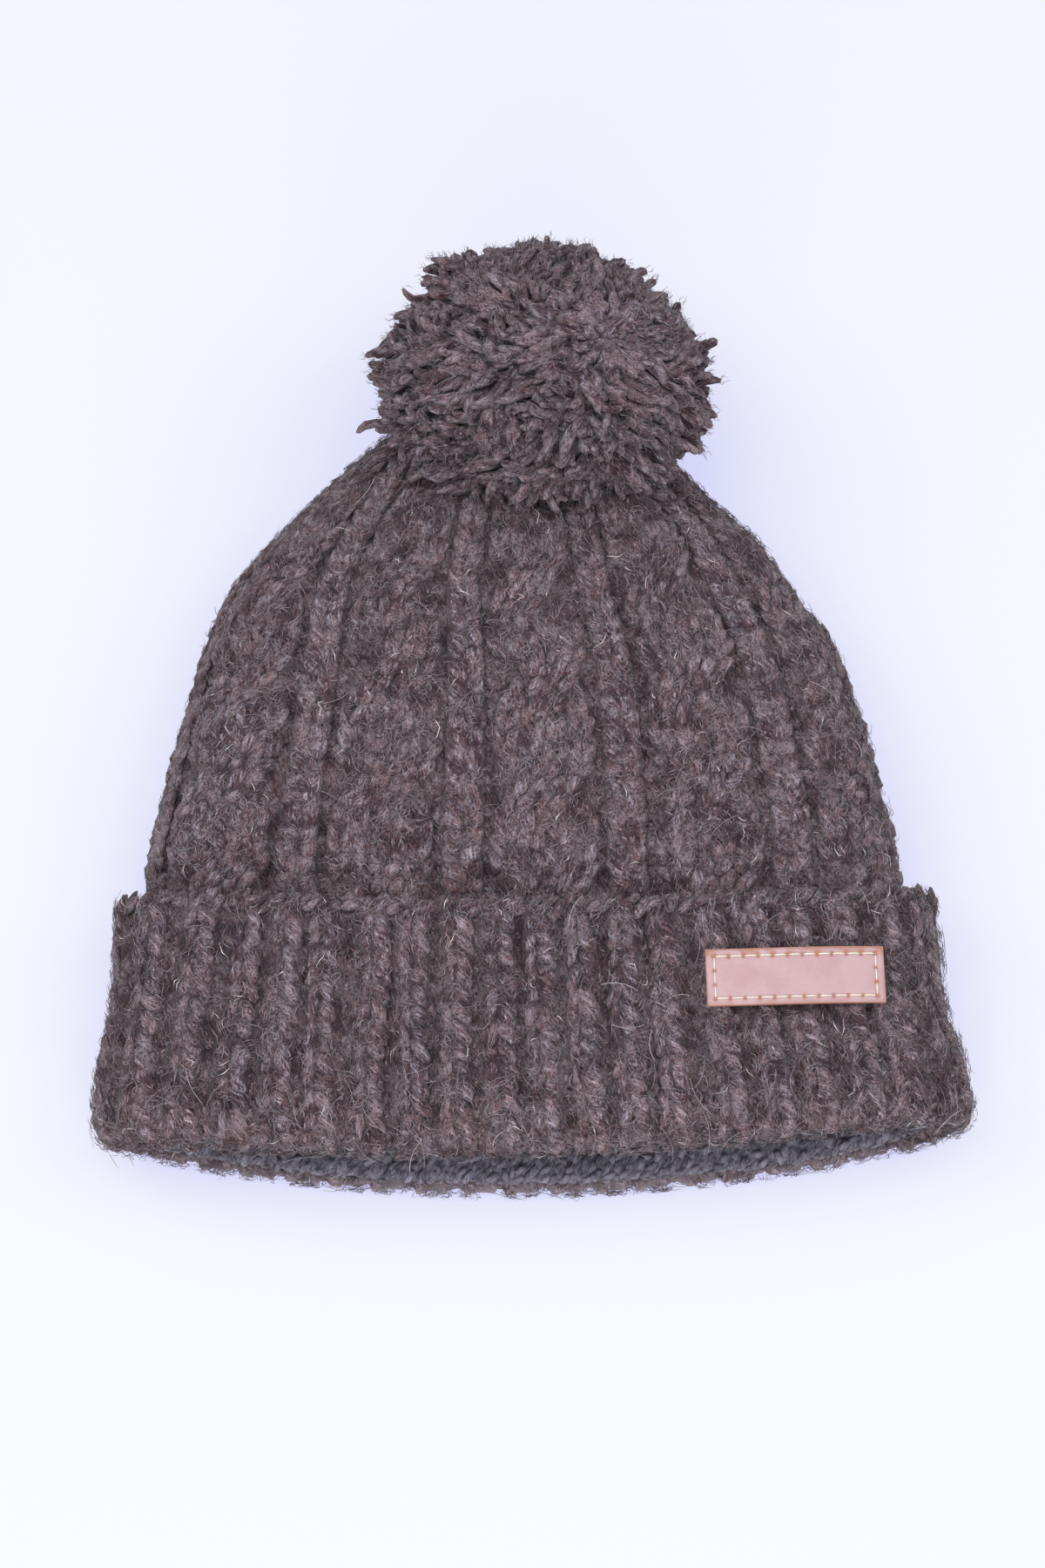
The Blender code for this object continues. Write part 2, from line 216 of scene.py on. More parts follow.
class StageSettings(bpy.types.PropertyGroup):
    """Camera, floor and light."""
    elevation: FloatProperty(name="Elevation", description="Height of the camera over the horizon",
                             default=math.radians(75.0), unit="ROTATION")
    distance: FloatProperty(name="Distance", description="Camera to its target", default=1.0815,
                            unit="LENGTH")
    lens: FloatProperty(name="Lens", description="Focal length in millimetres", default=85.71)
    target: FloatVectorProperty(name="Target", description="Point that the camera looks at",
                                subtype="TRANSLATION", unit="LENGTH",
                                default=(-0.0030, -0.020405, 0.0206))
    floor: FloatVectorProperty(name="Floor", description="Colour of the floor", subtype="COLOR",
                               default=(0.300, 0.320, 0.060), min=0.0, max=1.0)
    glow: FloatVectorProperty(name="Glow", description="Light that the floor gives back from behind",
                              subtype="COLOR", default=(0.500, 0.495, 0.905), min=0.0, max=1.0)
    sky: FloatProperty(name="Surround", description="Strength of the light from all round", default=0.50)
    softbox: FloatProperty(name="Softbox", description="Mean power of the two softboxes", default=12.0,
                           unit="POWER")


class Wire:
    """An output in a node tree. Arithmetic on it adds the Math nodes that it needs."""

    def __init__(self, graph, socket):
        self.graph = graph
        self.socket = socket

    def out(self, name):
        return Wire(self.graph, pick(self.socket.node.outputs, name))

    def math(self, operation, *others):
        return self.graph.math(operation, self, *others)

    def clamp(self):
        return self.math("MAXIMUM", 0.0).math("MINIMUM", 1.0)

    def __add__(self, other):
        return self.math("ADD", other)

    __radd__ = __add__

    def __mul__(self, other):
        return self.math("MULTIPLY", other)

    __rmul__ = __mul__

    def __sub__(self, other):
        return self.math("SUBTRACT", other)

    def __rsub__(self, other):
        return self.graph.math("SUBTRACT", other, self)

    def __pow__(self, other):
        return self.math("POWER", other)


def pick(sockets, key):
    """A socket by its number, or the shown one of a name."""
    if isinstance(key, int):
        return sockets[key]
    return next(socket for socket in sockets if socket.enabled and socket.name == key)


class Graph:
    """A node tree that grows by one method."""

    def __init__(self, tree):
        self.tree = tree

    def node(self, kind, settings=None, inputs=None, output=None):
        made = self.tree.nodes.new(kind)
        for name, value in (settings or {}).items():
            setattr(made, name, value)
        for key, value in (inputs or {}).items():
            self.plug(value, pick(made.inputs, key))
        if output is None:
            shown = [socket for socket in made.outputs if socket.enabled]
            return Wire(self, shown[0]) if shown else made
        return Wire(self, pick(made.outputs, output))

    def plug(self, value, socket):
        if isinstance(value, Wire):
            self.tree.links.new(value.socket, socket)
        else:
            socket.default_value = value

    def math(self, operation, *values):
        return self.node("ShaderNodeMath", {"operation": operation}, dict(enumerate(values)))

    def vector_math(self, operation, inputs):
        return self.node("ShaderNodeVectorMath", {"operation": operation}, inputs)

    def ramp(self, value, places, tones):
        """A colour ramp with a grey or a colour at each place."""
        made = self.node("ShaderNodeValToRGB", None, {"Fac": value})
        stops = made.socket.node.color_ramp.elements
        while len(stops) < len(places):
            stops.new(1.0)
        for stop, place, tone in zip(stops, places, tones):
            stop.position = place
            stop.color = (tone, tone, tone, 1.0) if isinstance(tone, float) else (*tone, 1.0)
        return made

    def mix(self, share, first, second, blend="MIX"):
        """Two colours, each a wire or three numbers."""
        colours = [c if isinstance(c, Wire) else (*c, 1.0) for c in (first, second)]
        return self.node("ShaderNodeMix", {"data_type": "RGBA", "blend_type": blend},
                         {"Factor": share, "A": colours[0], "B": colours[1]}, "Result")

    def noise(self, place, scale, detail=2.0, roughness=0.5, distortion=0.0):
        return self.node("ShaderNodeTexNoise", None,
                         {"Vector": place, "Scale": scale, "Detail": detail, "Roughness": roughness,
                          "Distortion": distortion})

    def vector(self, x, y, z):
        return self.node("ShaderNodeCombineXYZ", None, {0: x, 1: y, 2: z})

    def split(self, vector):
        return self.node("ShaderNodeSeparateXYZ", None, {0: vector}, "X")

    def place(self):
        return self.node("ShaderNodeTexCoord", None, None, "Object")

    def yarn_map(self):
        return self.split(self.node("ShaderNodeUVMap", {"uv_map": "yarn"}))

    def attribute(self, name):
        return self.node("ShaderNodeAttribute", {"attribute_name": name}, None, "Fac")


def smooth_step(value):
    value = np.clip(value, 0.0, 1.0)
    return value * value * (3.0 - 2.0 * value)


def unit(vectors):
    return vectors / np.maximum(np.linalg.norm(vectors, axis=-1, keepdims=True), 1e-9)


def turned(first, second, angle):
    """Two directions at right angles, turned together from the first towards the second."""
    return first * np.cos(angle) + second * np.sin(angle), second * np.cos(angle) - first * np.sin(angle)


def running(lengths):
    """Sums of lengths up to each place, from 0."""
    return np.concatenate(([0.0], np.cumsum(lengths)))


def turns_of(count):
    """Even turns round the hat."""
    return np.arange(count) / count


def vary(rng, values, spread, mean=0.0):
    """A random number for each of the values."""
    return mean + rng.normal(0.0, spread, len(values))


def section_at(station):
    """Values of the section table at a station, on a smooth curve through its rows."""
    table = np.array(SECTIONS)
    stations = table[:, 0]
    slopes = np.gradient(table, stations, axis=0)
    row = int(np.clip(np.searchsorted(stations, station) - 1, 0, len(stations) - 2))
    span = stations[row + 1] - stations[row]
    t = (station - stations[row]) / span
    values = ((2 * t**3 - 3 * t**2 + 1) * table[row] + (3 * t**2 - 2 * t**3) * table[row + 1]
              + (t**3 - 2 * t**2 + t) * span * slopes[row] + (t**3 - t**2) * span * slopes[row + 1])
    return SimpleNamespace(**dict(zip(SECTION_COLUMNS, values)))


def hat_ring(station, turns):
    """Points of the crown's outer face at a station, by equal lengths round the section.
    A turn of 0 is the front's middle, 0.25 the right side and 0.5 the back's middle."""
    row = section_at(station)
    angle = np.linspace(0.0, 2.0 * math.pi, RING_SAMPLES)
    across = np.sign(np.sin(angle)) * np.abs(np.sin(angle)) ** (2.0 / row.squareness)
    x = row.middle_x + row.half_width * across
    half_height = 0.5 * (row.top - row.bottom)
    rise = np.sqrt(np.clip(1.0 - np.abs(across) ** row.squareness, 0.0, 1.0)) * np.sign(np.cos(angle))
    z = row.bottom + half_height * (1.0 + rise)
    length = running(np.hypot(np.diff(x), np.diff(z)))
    wanted = (np.asarray(turns) % 1.0) * length[-1]
    x = np.interp(wanted, length, x)
    z = np.interp(wanted, length, z)
    side = (x - row.middle_x) / row.half_width
    front = (z - row.bottom) / (2.0 * half_height)
    bow = (1.0 - front) * row.back_bow + front * row.front_bow
    tilt = RIM_TILT * front + BACK_TILT * (1.0 - front)
    tilt = tilt * smooth_step((-TILT_LENGTH - station) / TILT_LENGTH)
    drop = CUFF_DROP * np.minimum(x, 0.0) * smooth_step(1.0 - abs(station - CUFF_TOP) / DROP_LENGTH)
    y = station - bow * (1.0 - side * side) + tilt * x + drop
    return np.stack((x, y, z), axis=1)


def hat_points(station, turns, offset):
    """The same points moved out of the crown's face along its normals."""
    step, turn_step = 0.25, 0.0015
    low = max(station - step, SECTIONS[0][0])
    high = min(station + step, SECTIONS[-1][0])
    along = hat_ring(high, turns) - hat_ring(low, turns)
    around = hat_ring(station, turns + turn_step) - hat_ring(station, turns - turn_step)
    normal = np.cross(around, along)
    normal /= np.linalg.norm(normal, axis=1)[:, None]
    return hat_ring(station, turns) + offset * normal


class Sheet:
    """A layer of the hat as a fine grid of places, read by the distance along it and the turn."""

    def __init__(self, path):
        turns = turns_of(SHEET_COLUMNS)
        self.grid = np.array([hat_points(station, turns, offset) for station, offset in path])
        self.along = running(np.linalg.norm(np.diff(self.grid, axis=0), axis=2).mean(axis=1))
        self.stations = np.array([station for station, _ in path])
        around = np.roll(self.grid, -1, axis=1) - np.roll(self.grid, 1, axis=1)
        ahead = np.gradient(self.grid, axis=0)
        self.normal = unit(np.cross(around, ahead))
        self.forward = unit(ahead)
        self.girth = np.linalg.norm(around, axis=2) * 0.5 * SHEET_COLUMNS

    def read(self, table, along, turn):
        """Values of one of the grids, blended between the four nearest places."""
        along, turn = np.broadcast_arrays(np.asarray(along, float), np.asarray(turn, float))
        row = np.interp(along, self.along, np.arange(len(self.along)))
        low = np.minimum(row.astype(int), len(self.along) - 2)
        column = (turn % 1.0) * SHEET_COLUMNS
        left = column.astype(int)
        up, right = row - low, column - left
        left = left % SHEET_COLUMNS
        beside = (left + 1) % SHEET_COLUMNS
        if table.ndim == 3:
            up, right = up[..., None], right[..., None]
        lower = table[low, left] * (1.0 - right) + table[low, beside] * right
        upper = table[low + 1, left] * (1.0 - right) + table[low + 1, beside] * right
        return lower * (1.0 - up) + upper * up

    def place(self, along, turn, height=0.0):
        normal = unit(self.read(self.normal, along, turn))
        return self.read(self.grid, along, turn) + np.asarray(height)[..., None] * normal

    def axes(self, along, turn):
        """Unit vectors round the hat, along it and out of it."""
        normal = unit(self.read(self.normal, along, turn))
        across = unit(np.cross(self.read(self.forward, along, turn), normal))
        return across, np.cross(normal, across), normal

    def width(self, along, turn):
        """Length round the hat."""
        return self.read(self.girth, along, turn)

    def station(self, along):
        return np.interp(along, self.along, self.stations)

    def distance(self, station):
        return np.interp(station, self.stations, self.along)


def to_quaternions(x_axes, y_axes, z_axes):
    """Quaternions of frames given by their three unit axes."""
    m = np.stack((x_axes, y_axes, z_axes), axis=-1)
    trace = m[:, 0, 0] + m[:, 1, 1] + m[:, 2, 2]
    best = np.stack((trace, m[:, 0, 0], m[:, 1, 1], m[:, 2, 2]), axis=1).argmax(axis=1)
    q = np.empty((len(m), 4))
    own = best == 0
    w = 0.5 * np.sqrt(np.maximum(1.0 + trace[own], 0.0))
    q[own] = np.stack((w, *[(m[own, k, j] - m[own, j, k]) / (4 * w) for j, k in ((1, 2), (2, 0), (0, 1))]),
                      axis=1)
    for i in range(3):
        own = best == i + 1
        j, k = (i + 1) % 3, (i + 2) % 3
        s = 0.5 * np.sqrt(np.maximum(1.0 + m[own, i, i] - m[own, j, j] - m[own, k, k], 0.0))
        part = np.empty((own.sum(), 4))
        part[:, 0] = (m[own, k, j] - m[own, j, k]) / (4 * s)
        part[:, 1 + i] = s
        part[:, 1 + j] = (m[own, j, i] + m[own, i, j]) / (4 * s)
        part[:, 1 + k] = (m[own, k, i] + m[own, i, k]) / (4 * s)
        q[own] = part
    return unit(q)


class Sowing:
    """Places, turns, sizes and tones of the copies that a node tree sets on points."""

    def __init__(self, rng):
        self.rng = rng
        self.places, self.turns, self.sizes, self.tones = [], [], [], []

    def add(self, places, across, forward, normal, lean, sizes, tones=None):
        """Copies at places. Each lies along forward, leans about its normal, and is sized
        by shares of its own width, length and thickness. A tone is a share from 0 to 1."""
        lean = np.broadcast_to(lean, len(places))[:, None]
        y_axes, x_axes = turned(forward, across, lean)
        self.places.append(places)
        self.turns.append(to_quaternions(x_axes, y_axes, normal))
        self.sizes.append(np.stack([np.broadcast_to(size, len(places)) for size in sizes], axis=1))
        self.tones.append(self.rng.uniform(0.0, 1.0, len(places)) if tones is None else tones)

    def lay(self, sheet, along, turn, height, lean, sizes, press=0.0, keep=slice(None), side=1.0):
        """Copies on a sheet at a height, pressed in under the label. keep picks some of them,
        and a side of -1 lays them face down."""
        turn = np.broadcast_to(turn, len(along))
        across, forward, normal = sheet.axes(along, turn)
        places = sheet.place(along, turn, height)
        places = places - press * label_press(places)[:, None] * normal
        sizes = [np.broadcast_to(size, len(along))[keep] for size in sizes]
        self.add(places[keep], side * across[keep], forward[keep], side * normal[keep],
                 np.broadcast_to(lean, len(along))[keep], sizes)

    def mesh(self, name):
        """Loose points that carry the turns, the sizes and the tones as attributes."""
        mesh = bpy.data.meshes.new(name)
        mesh.from_pydata(((np.concatenate(self.places) - ORIGIN) * MM).tolist(), [], [])
        for key, kind, field, values in (("turning", "QUATERNION", "value", self.turns),
                                         ("stretch", "FLOAT_VECTOR", "vector", self.sizes),
                                         ("tone", "FLOAT", "value", self.tones)):
            data = mesh.attributes.new(key, kind, "POINT").data
            data.foreach_set(field, np.concatenate(values).astype(np.float32).ravel())
        return mesh


def yarn_tree():
    """A node tree that sets lengths of yarn or single fibres on points. A length is round with
    rounded ends. It arches out of the knit, bends sideways, curls, and wobbles with the knit."""
    tree = bpy.data.node_groups.new("yarn_lengths", "GeometryNodeTree")
    tree.interface.new_socket("Geometry", in_out="INPUT", socket_type="NodeSocketGeometry")
    tree.interface.new_socket("Geometry", in_out="OUTPUT", socket_type="NodeSocketGeometry")
    for name, kind, value in (
            ("Length", "Float", YARN_LENGTH * MM), ("Width", "Float", 3.0 * MM),
            ("Thickness", "Float", 3.0 * MM), ("Arch", "Float", 0.8 * MM), ("Fullness", "Float", 2.4),
            ("Bend", "Float", 0.0), ("Curl", "Float", 0.0), ("Wobble", "Float", 0.0),
            ("Roughness", "Float", 0.0), ("Sides", "Int", 6), ("Rings", "Int", 6)):
        socket = tree.interface.new_socket(name, in_out="INPUT", socket_type="NodeSocket" + kind)
        socket.default_value = value
    tree.interface.new_socket("Material", in_out="INPUT", socket_type="NodeSocketMaterial")
    graph = Graph(tree)
    group = graph.node("NodeGroupInput")
    grid = graph.node("GeometryNodeMeshGrid", None,
                      {"Size X": 1.0, "Size Y": 1.0, "Vertices X": group.out("Sides") + 1.0,
                       "Vertices Y": group.out("Rings")}, "Mesh")
    flat = graph.node("GeometryNodeStoreNamedAttribute", {"data_type": "FLOAT2", "domain": "CORNER"},
                      {"Geometry": grid, "Name": "yarn", "Value": grid.out("UV Map")})
    u = graph.split(grid.out("UV Map"))
    angle = u * (-2.0 * math.pi) - 0.5 * math.pi
    reach = (u.out("Y") * math.pi).math("COSINE") * -1.0
    dome = 1.0 - reach * reach
    radius = (1.0 - reach.math("ABSOLUTE") ** group.out("Fullness")).math("MAXIMUM", 0.0) ** 0.5
    loop = reach * 3.4
    x = 0.5 * group.out("Width") * radius * angle.math("COSINE") + group.out("Bend") * dome
    x = x + group.out("Curl") * loop.math("SINE")
    y = group.out("Length") * 0.5 * reach + group.out("Curl") * loop.math("COSINE")
    z = 0.5 * group.out("Thickness") * radius * angle.math("SINE") + group.out("Arch") * (dome - 0.5)
    length = graph.node("GeometryNodeSetPosition", None,
                        {"Geometry": flat, "Position": graph.vector(x, y, z)})
    length = graph.node("GeometryNodeMergeByDistance", None, {"Geometry": length, "Distance": 1e-6})
    turning, stretch = [graph.node("GeometryNodeInputNamedAttribute", {"data_type": kind}, {"Name": name})
                        for kind, name in (("QUATERNION", "turning"), ("FLOAT_VECTOR", "stretch"))]
    shapes = graph.node("GeometryNodeGeometryToInstance", None, {"Geometry": length})
    copies = graph.node("GeometryNodeInstanceOnPoints", None,
                        {"Points": group.out("Geometry"), "Instance": shapes, "Rotation": turning,
                         "Scale": stretch, "Pick Instance": True})
    real = graph.node("GeometryNodeRealizeInstances", None, {"Geometry": copies})
    for scale, amount in ((260.0, "Wobble"), (1300.0, "Roughness")):
        drift = graph.noise(graph.node("GeometryNodeInputPosition"), scale, 1.0).out("Color")
        drift = graph.vector_math("SUBTRACT", {0: drift, 1: (0.5, 0.5, 0.5)})
        drift = graph.vector_math("SCALE", {0: drift, "Scale": group.out(amount)})
        real = graph.node("GeometryNodeSetPosition", None, {"Geometry": real, "Offset": drift})
    real = graph.node("GeometryNodeSetShadeSmooth", None, {"Geometry": real, "Shade Smooth": True})
    real = graph.node("GeometryNodeSetMaterial", None,
                      {"Geometry": real, "Material": group.out("Material")})
    tree.links.new(real.socket, tree.nodes.new("NodeGroupOutput").inputs[0])
    return tree


def grow(name, sowing, values):
    """A plain mesh object of yarn on the sown points."""
    tree = bpy.data.node_groups.get("yarn_lengths") or yarn_tree()
    body = bpy.data.objects.new(name, sowing.mesh(name + "_points"))
    bpy.context.collection.objects.link(body)
    modifier = body.modifiers.new("copies", "NODES")
    modifier.node_group = tree
    sockets = {item.name: item.identifier for item in tree.interface.items_tree if item.in_out == "INPUT"}
    for key, value in values.items():
        modifier[sockets[key]] = value
    graph = bpy.context.evaluated_depsgraph_get()
    mesh = bpy.data.meshes.new_from_object(body.evaluated_get(graph), depsgraph=graph)
    mesh.name = name
    body.modifiers.remove(modifier)
    body.data = mesh
    press_on_floor(mesh)
    return body


def press_on_floor(mesh, soft=1.2 * MM):
    """Presses what would reach below the floor, with a soft limit."""
    places = np.empty(len(mesh.vertices) * 3, np.float32)
    mesh.vertices.foreach_get("co", places)
    z = places[2::3]
    low = z < soft
    z[low] = soft * np.exp((z[low] - soft) / soft)
    mesh.vertices.foreach_set("co", places)
    mesh.update()


def add_piece(name, mesh, material):
    """A smooth object of a finished mesh."""
    mesh.shade_smooth()
    mesh.materials.append(material)
    press_on_floor(mesh)
    made = bpy.data.objects.new(name, mesh)
    bpy.context.collection.objects.link(made)
    return made


def shell(name, rings, material, capped=False):
    """A closed skin through rings of equal counts, with its yarn map in lengths of yarn. Its last
    ring meets the first, or both are capped on their middles."""
    rings = np.array(rings)
    rows, count = rings.shape[:2]
    points = rings.reshape(-1, 3)
    faces = [(row * count + i, row * count + (i + 1) % count,
              (row + 1) % rows * count + (i + 1) % count, (row + 1) % rows * count + i)
             for row in range(rows - capped) for i in range(count)]
    if capped:
        points = np.concatenate((points, rings[[0, -1]].mean(axis=1)))
        faces += [(row * count + i, row * count + (i + 1) % count, rows * count + hub)
                  for hub, row in enumerate((0, rows - 1)) for i in range(count)]
    mesh = bpy.data.meshes.new(name)
    mesh.from_pydata(((points - ORIGIN) * MM).tolist(), [], faces)
    whole = bmesh.new()
    whole.from_mesh(mesh)
    bmesh.ops.recalc_face_normals(whole, faces=whole.faces)
    lengths = whole.loops.layers.uv.new("yarn")
    steps = running(np.linalg.norm(np.diff(rings, axis=0), axis=2).mean(axis=1))
    girth = np.linalg.norm(rings - np.roll(rings, 1, axis=1), axis=2).sum(axis=1).mean()
    for face in whole.faces:
        columns = [loop.vert.index % count for loop in face.loops]
        wraps = max(columns) - min(columns) > 1
        for loop, column in zip(face.loops, columns):
            row = min(loop.vert.index // count, rows - 1)
            turn = (column + (count if wraps and column == 0 else 0)) / count
            loop[lengths].uv = (turn * girth / YARN_ROUND, steps[row] / YARN_LENGTH)
    whole.to_mesh(mesh)
    whole.free()
    return add_piece(name, mesh, material)


def shades(colour, *shares):
    """A colour times each of the shares."""
    return [tuple(share * c for c in colour) for share in shares]


def new_material(name, roughness, sheen):
    """A material with a Principled shader whose plain values are set on its own sockets."""
    material = bpy.data.materials.new(name)
    material.use_nodes = True
    shader = material.node_tree.nodes["Principled BSDF"]
    for socket, value in (("Roughness", roughness), ("Specular IOR Level", 0.2), ("Sheen Weight", sheen),
                          ("Sheen Roughness", 0.6)):
        shader.inputs[socket].default_value = value
    return material, Graph(material.node_tree), shader


def cover(graph, shader, colour, height, distance, strength):
    """Plugs a colour and a height, as bump, into a shader."""
    relief = graph.node("ShaderNodeBump", None,
                        {"Height": height, "Distance": distance, "Strength": strength})
    graph.plug(colour, shader.inputs["Base Color"])
    graph.plug(relief, shader.inputs["Normal"])


def yarn_place(graph, twist, stretch, fibre, length=YARN_LENGTH):
    """Coordinates on a length of yarn, in millimetres over a fibre's width, that run with its twist."""
    uv = graph.yarn_map()
    tone = graph.attribute("tone")
    u, v = uv * YARN_ROUND, uv.out("Y") * length
    return graph.vector((u + v * twist) * (1.0 / fibre), v * (stretch / fibre), tone * 91.0), tone


def curled_hairs(graph, place, scale, sharpness, distortion):
    """Thin curled lines, 1 on a hair and 0 off it."""
    field = graph.noise(place, scale, 1.0, 0.5, distortion)
    return (1.0 - (field - 0.5).math("ABSOLUTE") * sharpness).math("MAXIMUM", 0.0)


def wool(name, colours, ply, twist=1.9, length=YARN_LENGTH, shade=1.0, rim=0.0):
    """Heathered wool: fine streaks of dark, brown and pale fibres along the twist of each yarn,
    rust fibres in patches and by the rim, painted shade in the grooves between two plies, curled
    hairs, and a painted highlight on the rim where it lies by the floor. shade scales the wool's
    colours; below 1 it paints shade onto a knit's ground."""
    material, graph, shader = new_material(name, 0.95, 0.12)
    place = graph.place()
    streak_place, tone = yarn_place(graph, 0.42, 0.15, 0.46, length)
    cross_place, _ = yarn_place(graph, -0.35, 0.25, 0.38, length)
    fibres = (graph.noise(streak_place, 1.0, 2.0, 0.55, 0.8) * 0.6
              + graph.noise(cross_place, 1.0, 1.0, 0.5, 1.2) * 0.4)
    patches = graph.noise(place, 150.0, 2.0, 0.6)
    uv = graph.yarn_map()
    # plies is 0 in the groove between the two plies: it gives the bump, and darkens the colour there as
    # painted shade.
    plies = 0.5 + 0.5 * (uv * (4.0 * math.pi) - uv.out("Y") * (2.0 * math.pi * twist)).math("COSINE")
    spot = graph.split(place)
    edge = (spot.out("Y") * -80.0 - 8.9).clamp()
    low = (1.5 - spot.out("Z") * 150.0).clamp()
    lifted = fibres + (patches - 0.5) * 0.22 + (tone - 0.5) * 0.05 + (plies - 0.6) * (0.08 * ply)
    lifted = (lifted - 0.49) * (1.0 + edge * (1.3 * rim)) + 0.495
    tones = (shades(colours.deep, 0.6 * shade, 1.2 * shade)
             + shades(colours.brown, 0.8 * shade, 1.2 * shade) + shades(colours.pale, shade, 1.6 * shade))
    base = graph.ramp(lifted, (0.35, 0.43, 0.48, 0.535, 0.60, 0.70), tones)
    rusty = graph.noise(streak_place, 0.8, 2.0, 0.6, 0.4) + (patches - 0.5) * 0.4 + edge * (0.07 * rim)
    base = graph.mix(graph.ramp(rusty, (0.51, 0.60), (0.0, 0.75)), base, *shades(colours.rust, shade))
    tint = graph.ramp(graph.noise(place, 95.0, 3.0, 0.65), (0.38, 0.62),
                      ((1.10, 0.96, 0.93), (0.93, 1.0, 1.10)))
    base = graph.mix(0.7, base, tint, "MULTIPLY")
    fine = curled_hairs(graph, place, 520.0, 12.0, 1.6)
    broad = curled_hairs(graph, place, 300.0, 20.0, 2.2)
    hairs = (fine + broad).math("MINIMUM", 1.0) * graph.ramp(patches, (0.40, 0.56), (0.15, 1.0))
    base = graph.mix(hairs * 0.6, base, *shades(colours.pale, 1.3 * shade))
    # Painted highlight: the rim, where it lies low by the floor, is lightened towards pale in place of the
    # light that reaches it there.
    base = graph.mix(edge * low * (0.75 * rim), base, *shades(colours.pale, 1.5))
    cover(graph, shader, base, fibres + plies ** 0.5 * ply * 0.7 + hairs * 0.5, 0.5 * MM, 0.6)
    return material


def stitch_values(knit, material):
    """Inputs of the node tree for the leg of a stitch."""
    return {"Length": knit.leg_length, "Width": LEG_WIDTH * MM, "Thickness": knit.leg_thickness,
            "Arch": 0.8 * MM, "Wobble": 1.8 * MM, "Roughness": 1.0 * MM, "Sides": 5, "Rings": 5,
            "Material": material}


def off_middle(turn, phase, repeats):
    """How far a turn lies from the middle of a repeat, as a share of the repeat."""
    place = (turn - phase) * repeats % 1.0
    return np.abs(place - np.round(place))


def crown_relief(station, turn):
    """Height of the knit's ground over the crown's mean face."""
    across = off_middle(turn, CABLE_PHASE, CABLES)
    oval = 0.5 + 0.5 * np.cos(2.0 * math.pi * (station - CABLE_START) / CABLE_PITCH)
    edge = CABLE_HALF * (0.88 + 0.14 * oval)
    cable = smooth_step((edge + 0.02 - across) / 0.05)
    rib = smooth_step((across - 0.5 + RIB_HALF + 0.01) / 0.04)
    domed = np.clip(1.0 - (across / edge) ** 2, 0.0, 1.0)
    height = CROWN_GROUND + cable * (CABLE_RISE + (CABLE_DOME + 0.7 * oval) * domed ** 0.8)
    height = height + rib * RIB_RISE
    flatter = 1.0 - 0.18 * smooth_step((station - 5.0) / 45.0) - 0.5 * smooth_step((station - 55.0) / 40.0)
    return height * flatter * smooth_step((station - CUFF_TOP + 6.0) / 8.0)


def crown_sheet():
    return Sheet([(station, 0.0) for station in np.arange(-64.0, 99.8, 0.5)])


def crown_rows(sheet, knit):
    """Distances along the crown at which its rows of stitches lie."""
    return np.arange(sheet.distance(CUFF_TOP - 4.0), sheet.distance(97.0), knit.row / MM)


def sow_cables(sheet, knit, rng):
    """Four wales in each panel, in two pairs that change sides at each crossing.
    The pair that moves right goes over the other."""
    sowing = Sowing(rng)
    rows = crown_rows(sheet, knit)
    stitch = 0.5 * CABLE_HALF / CABLES
    for panel, direction, wale, leg in itertools.product(range(CABLES), (1.0, -1.0), (-0.5, 0.5),
                                                         (-0.25, 0.25)):
        over = direction > 0
        along = rows + vary(rng, rows, 0.45) + (0.0 if over else 2.5)
        station = sheet.station(along)
        phase = ((station - CABLE_START) / CABLE_PITCH) % 1.0 - 0.5
        move = np.clip(phase / CROSSING, -0.5, 0.5)
        slope = np.where(np.abs(move) < 0.5, np.cos(math.pi * move), 0.0)
        side = direction * np.sin(math.pi * move) + (wale + leg) * (1.0 + 0.3 * slope)
        turn = CABLE_PHASE + panel / CABLES + side * stitch + vary(rng, rows, 0.04) * stitch
        girth = sheet.width(along, turn)
        slant = direction * slope * math.pi / CROSSING / CABLE_PITCH * stitch * girth
        lean = np.arctan(slant) * 0.9 + math.copysign(knit.lean, leg) * (1.0 - 0.4 * slope)
        lean += vary(rng, rows, 0.11)
        width = stitch * girth * 0.5
        rise = slope * (0.6 if over else -0.8)
        height = crown_relief(station, turn) - 0.05 + rise + vary(rng, rows, 0.2)
        sizes = (width / LEG_WIDTH * (1.22 + 0.2 * slope), vary(rng, rows, 0.08, 1.0),
                 np.clip(width / LEG_WIDTH, 0.55, 1.05))
        sowing.lay(sheet, along, turn, height, lean, sizes, keep=(width > 0.7) & (over | (slope < 0.8)))
    return sowing


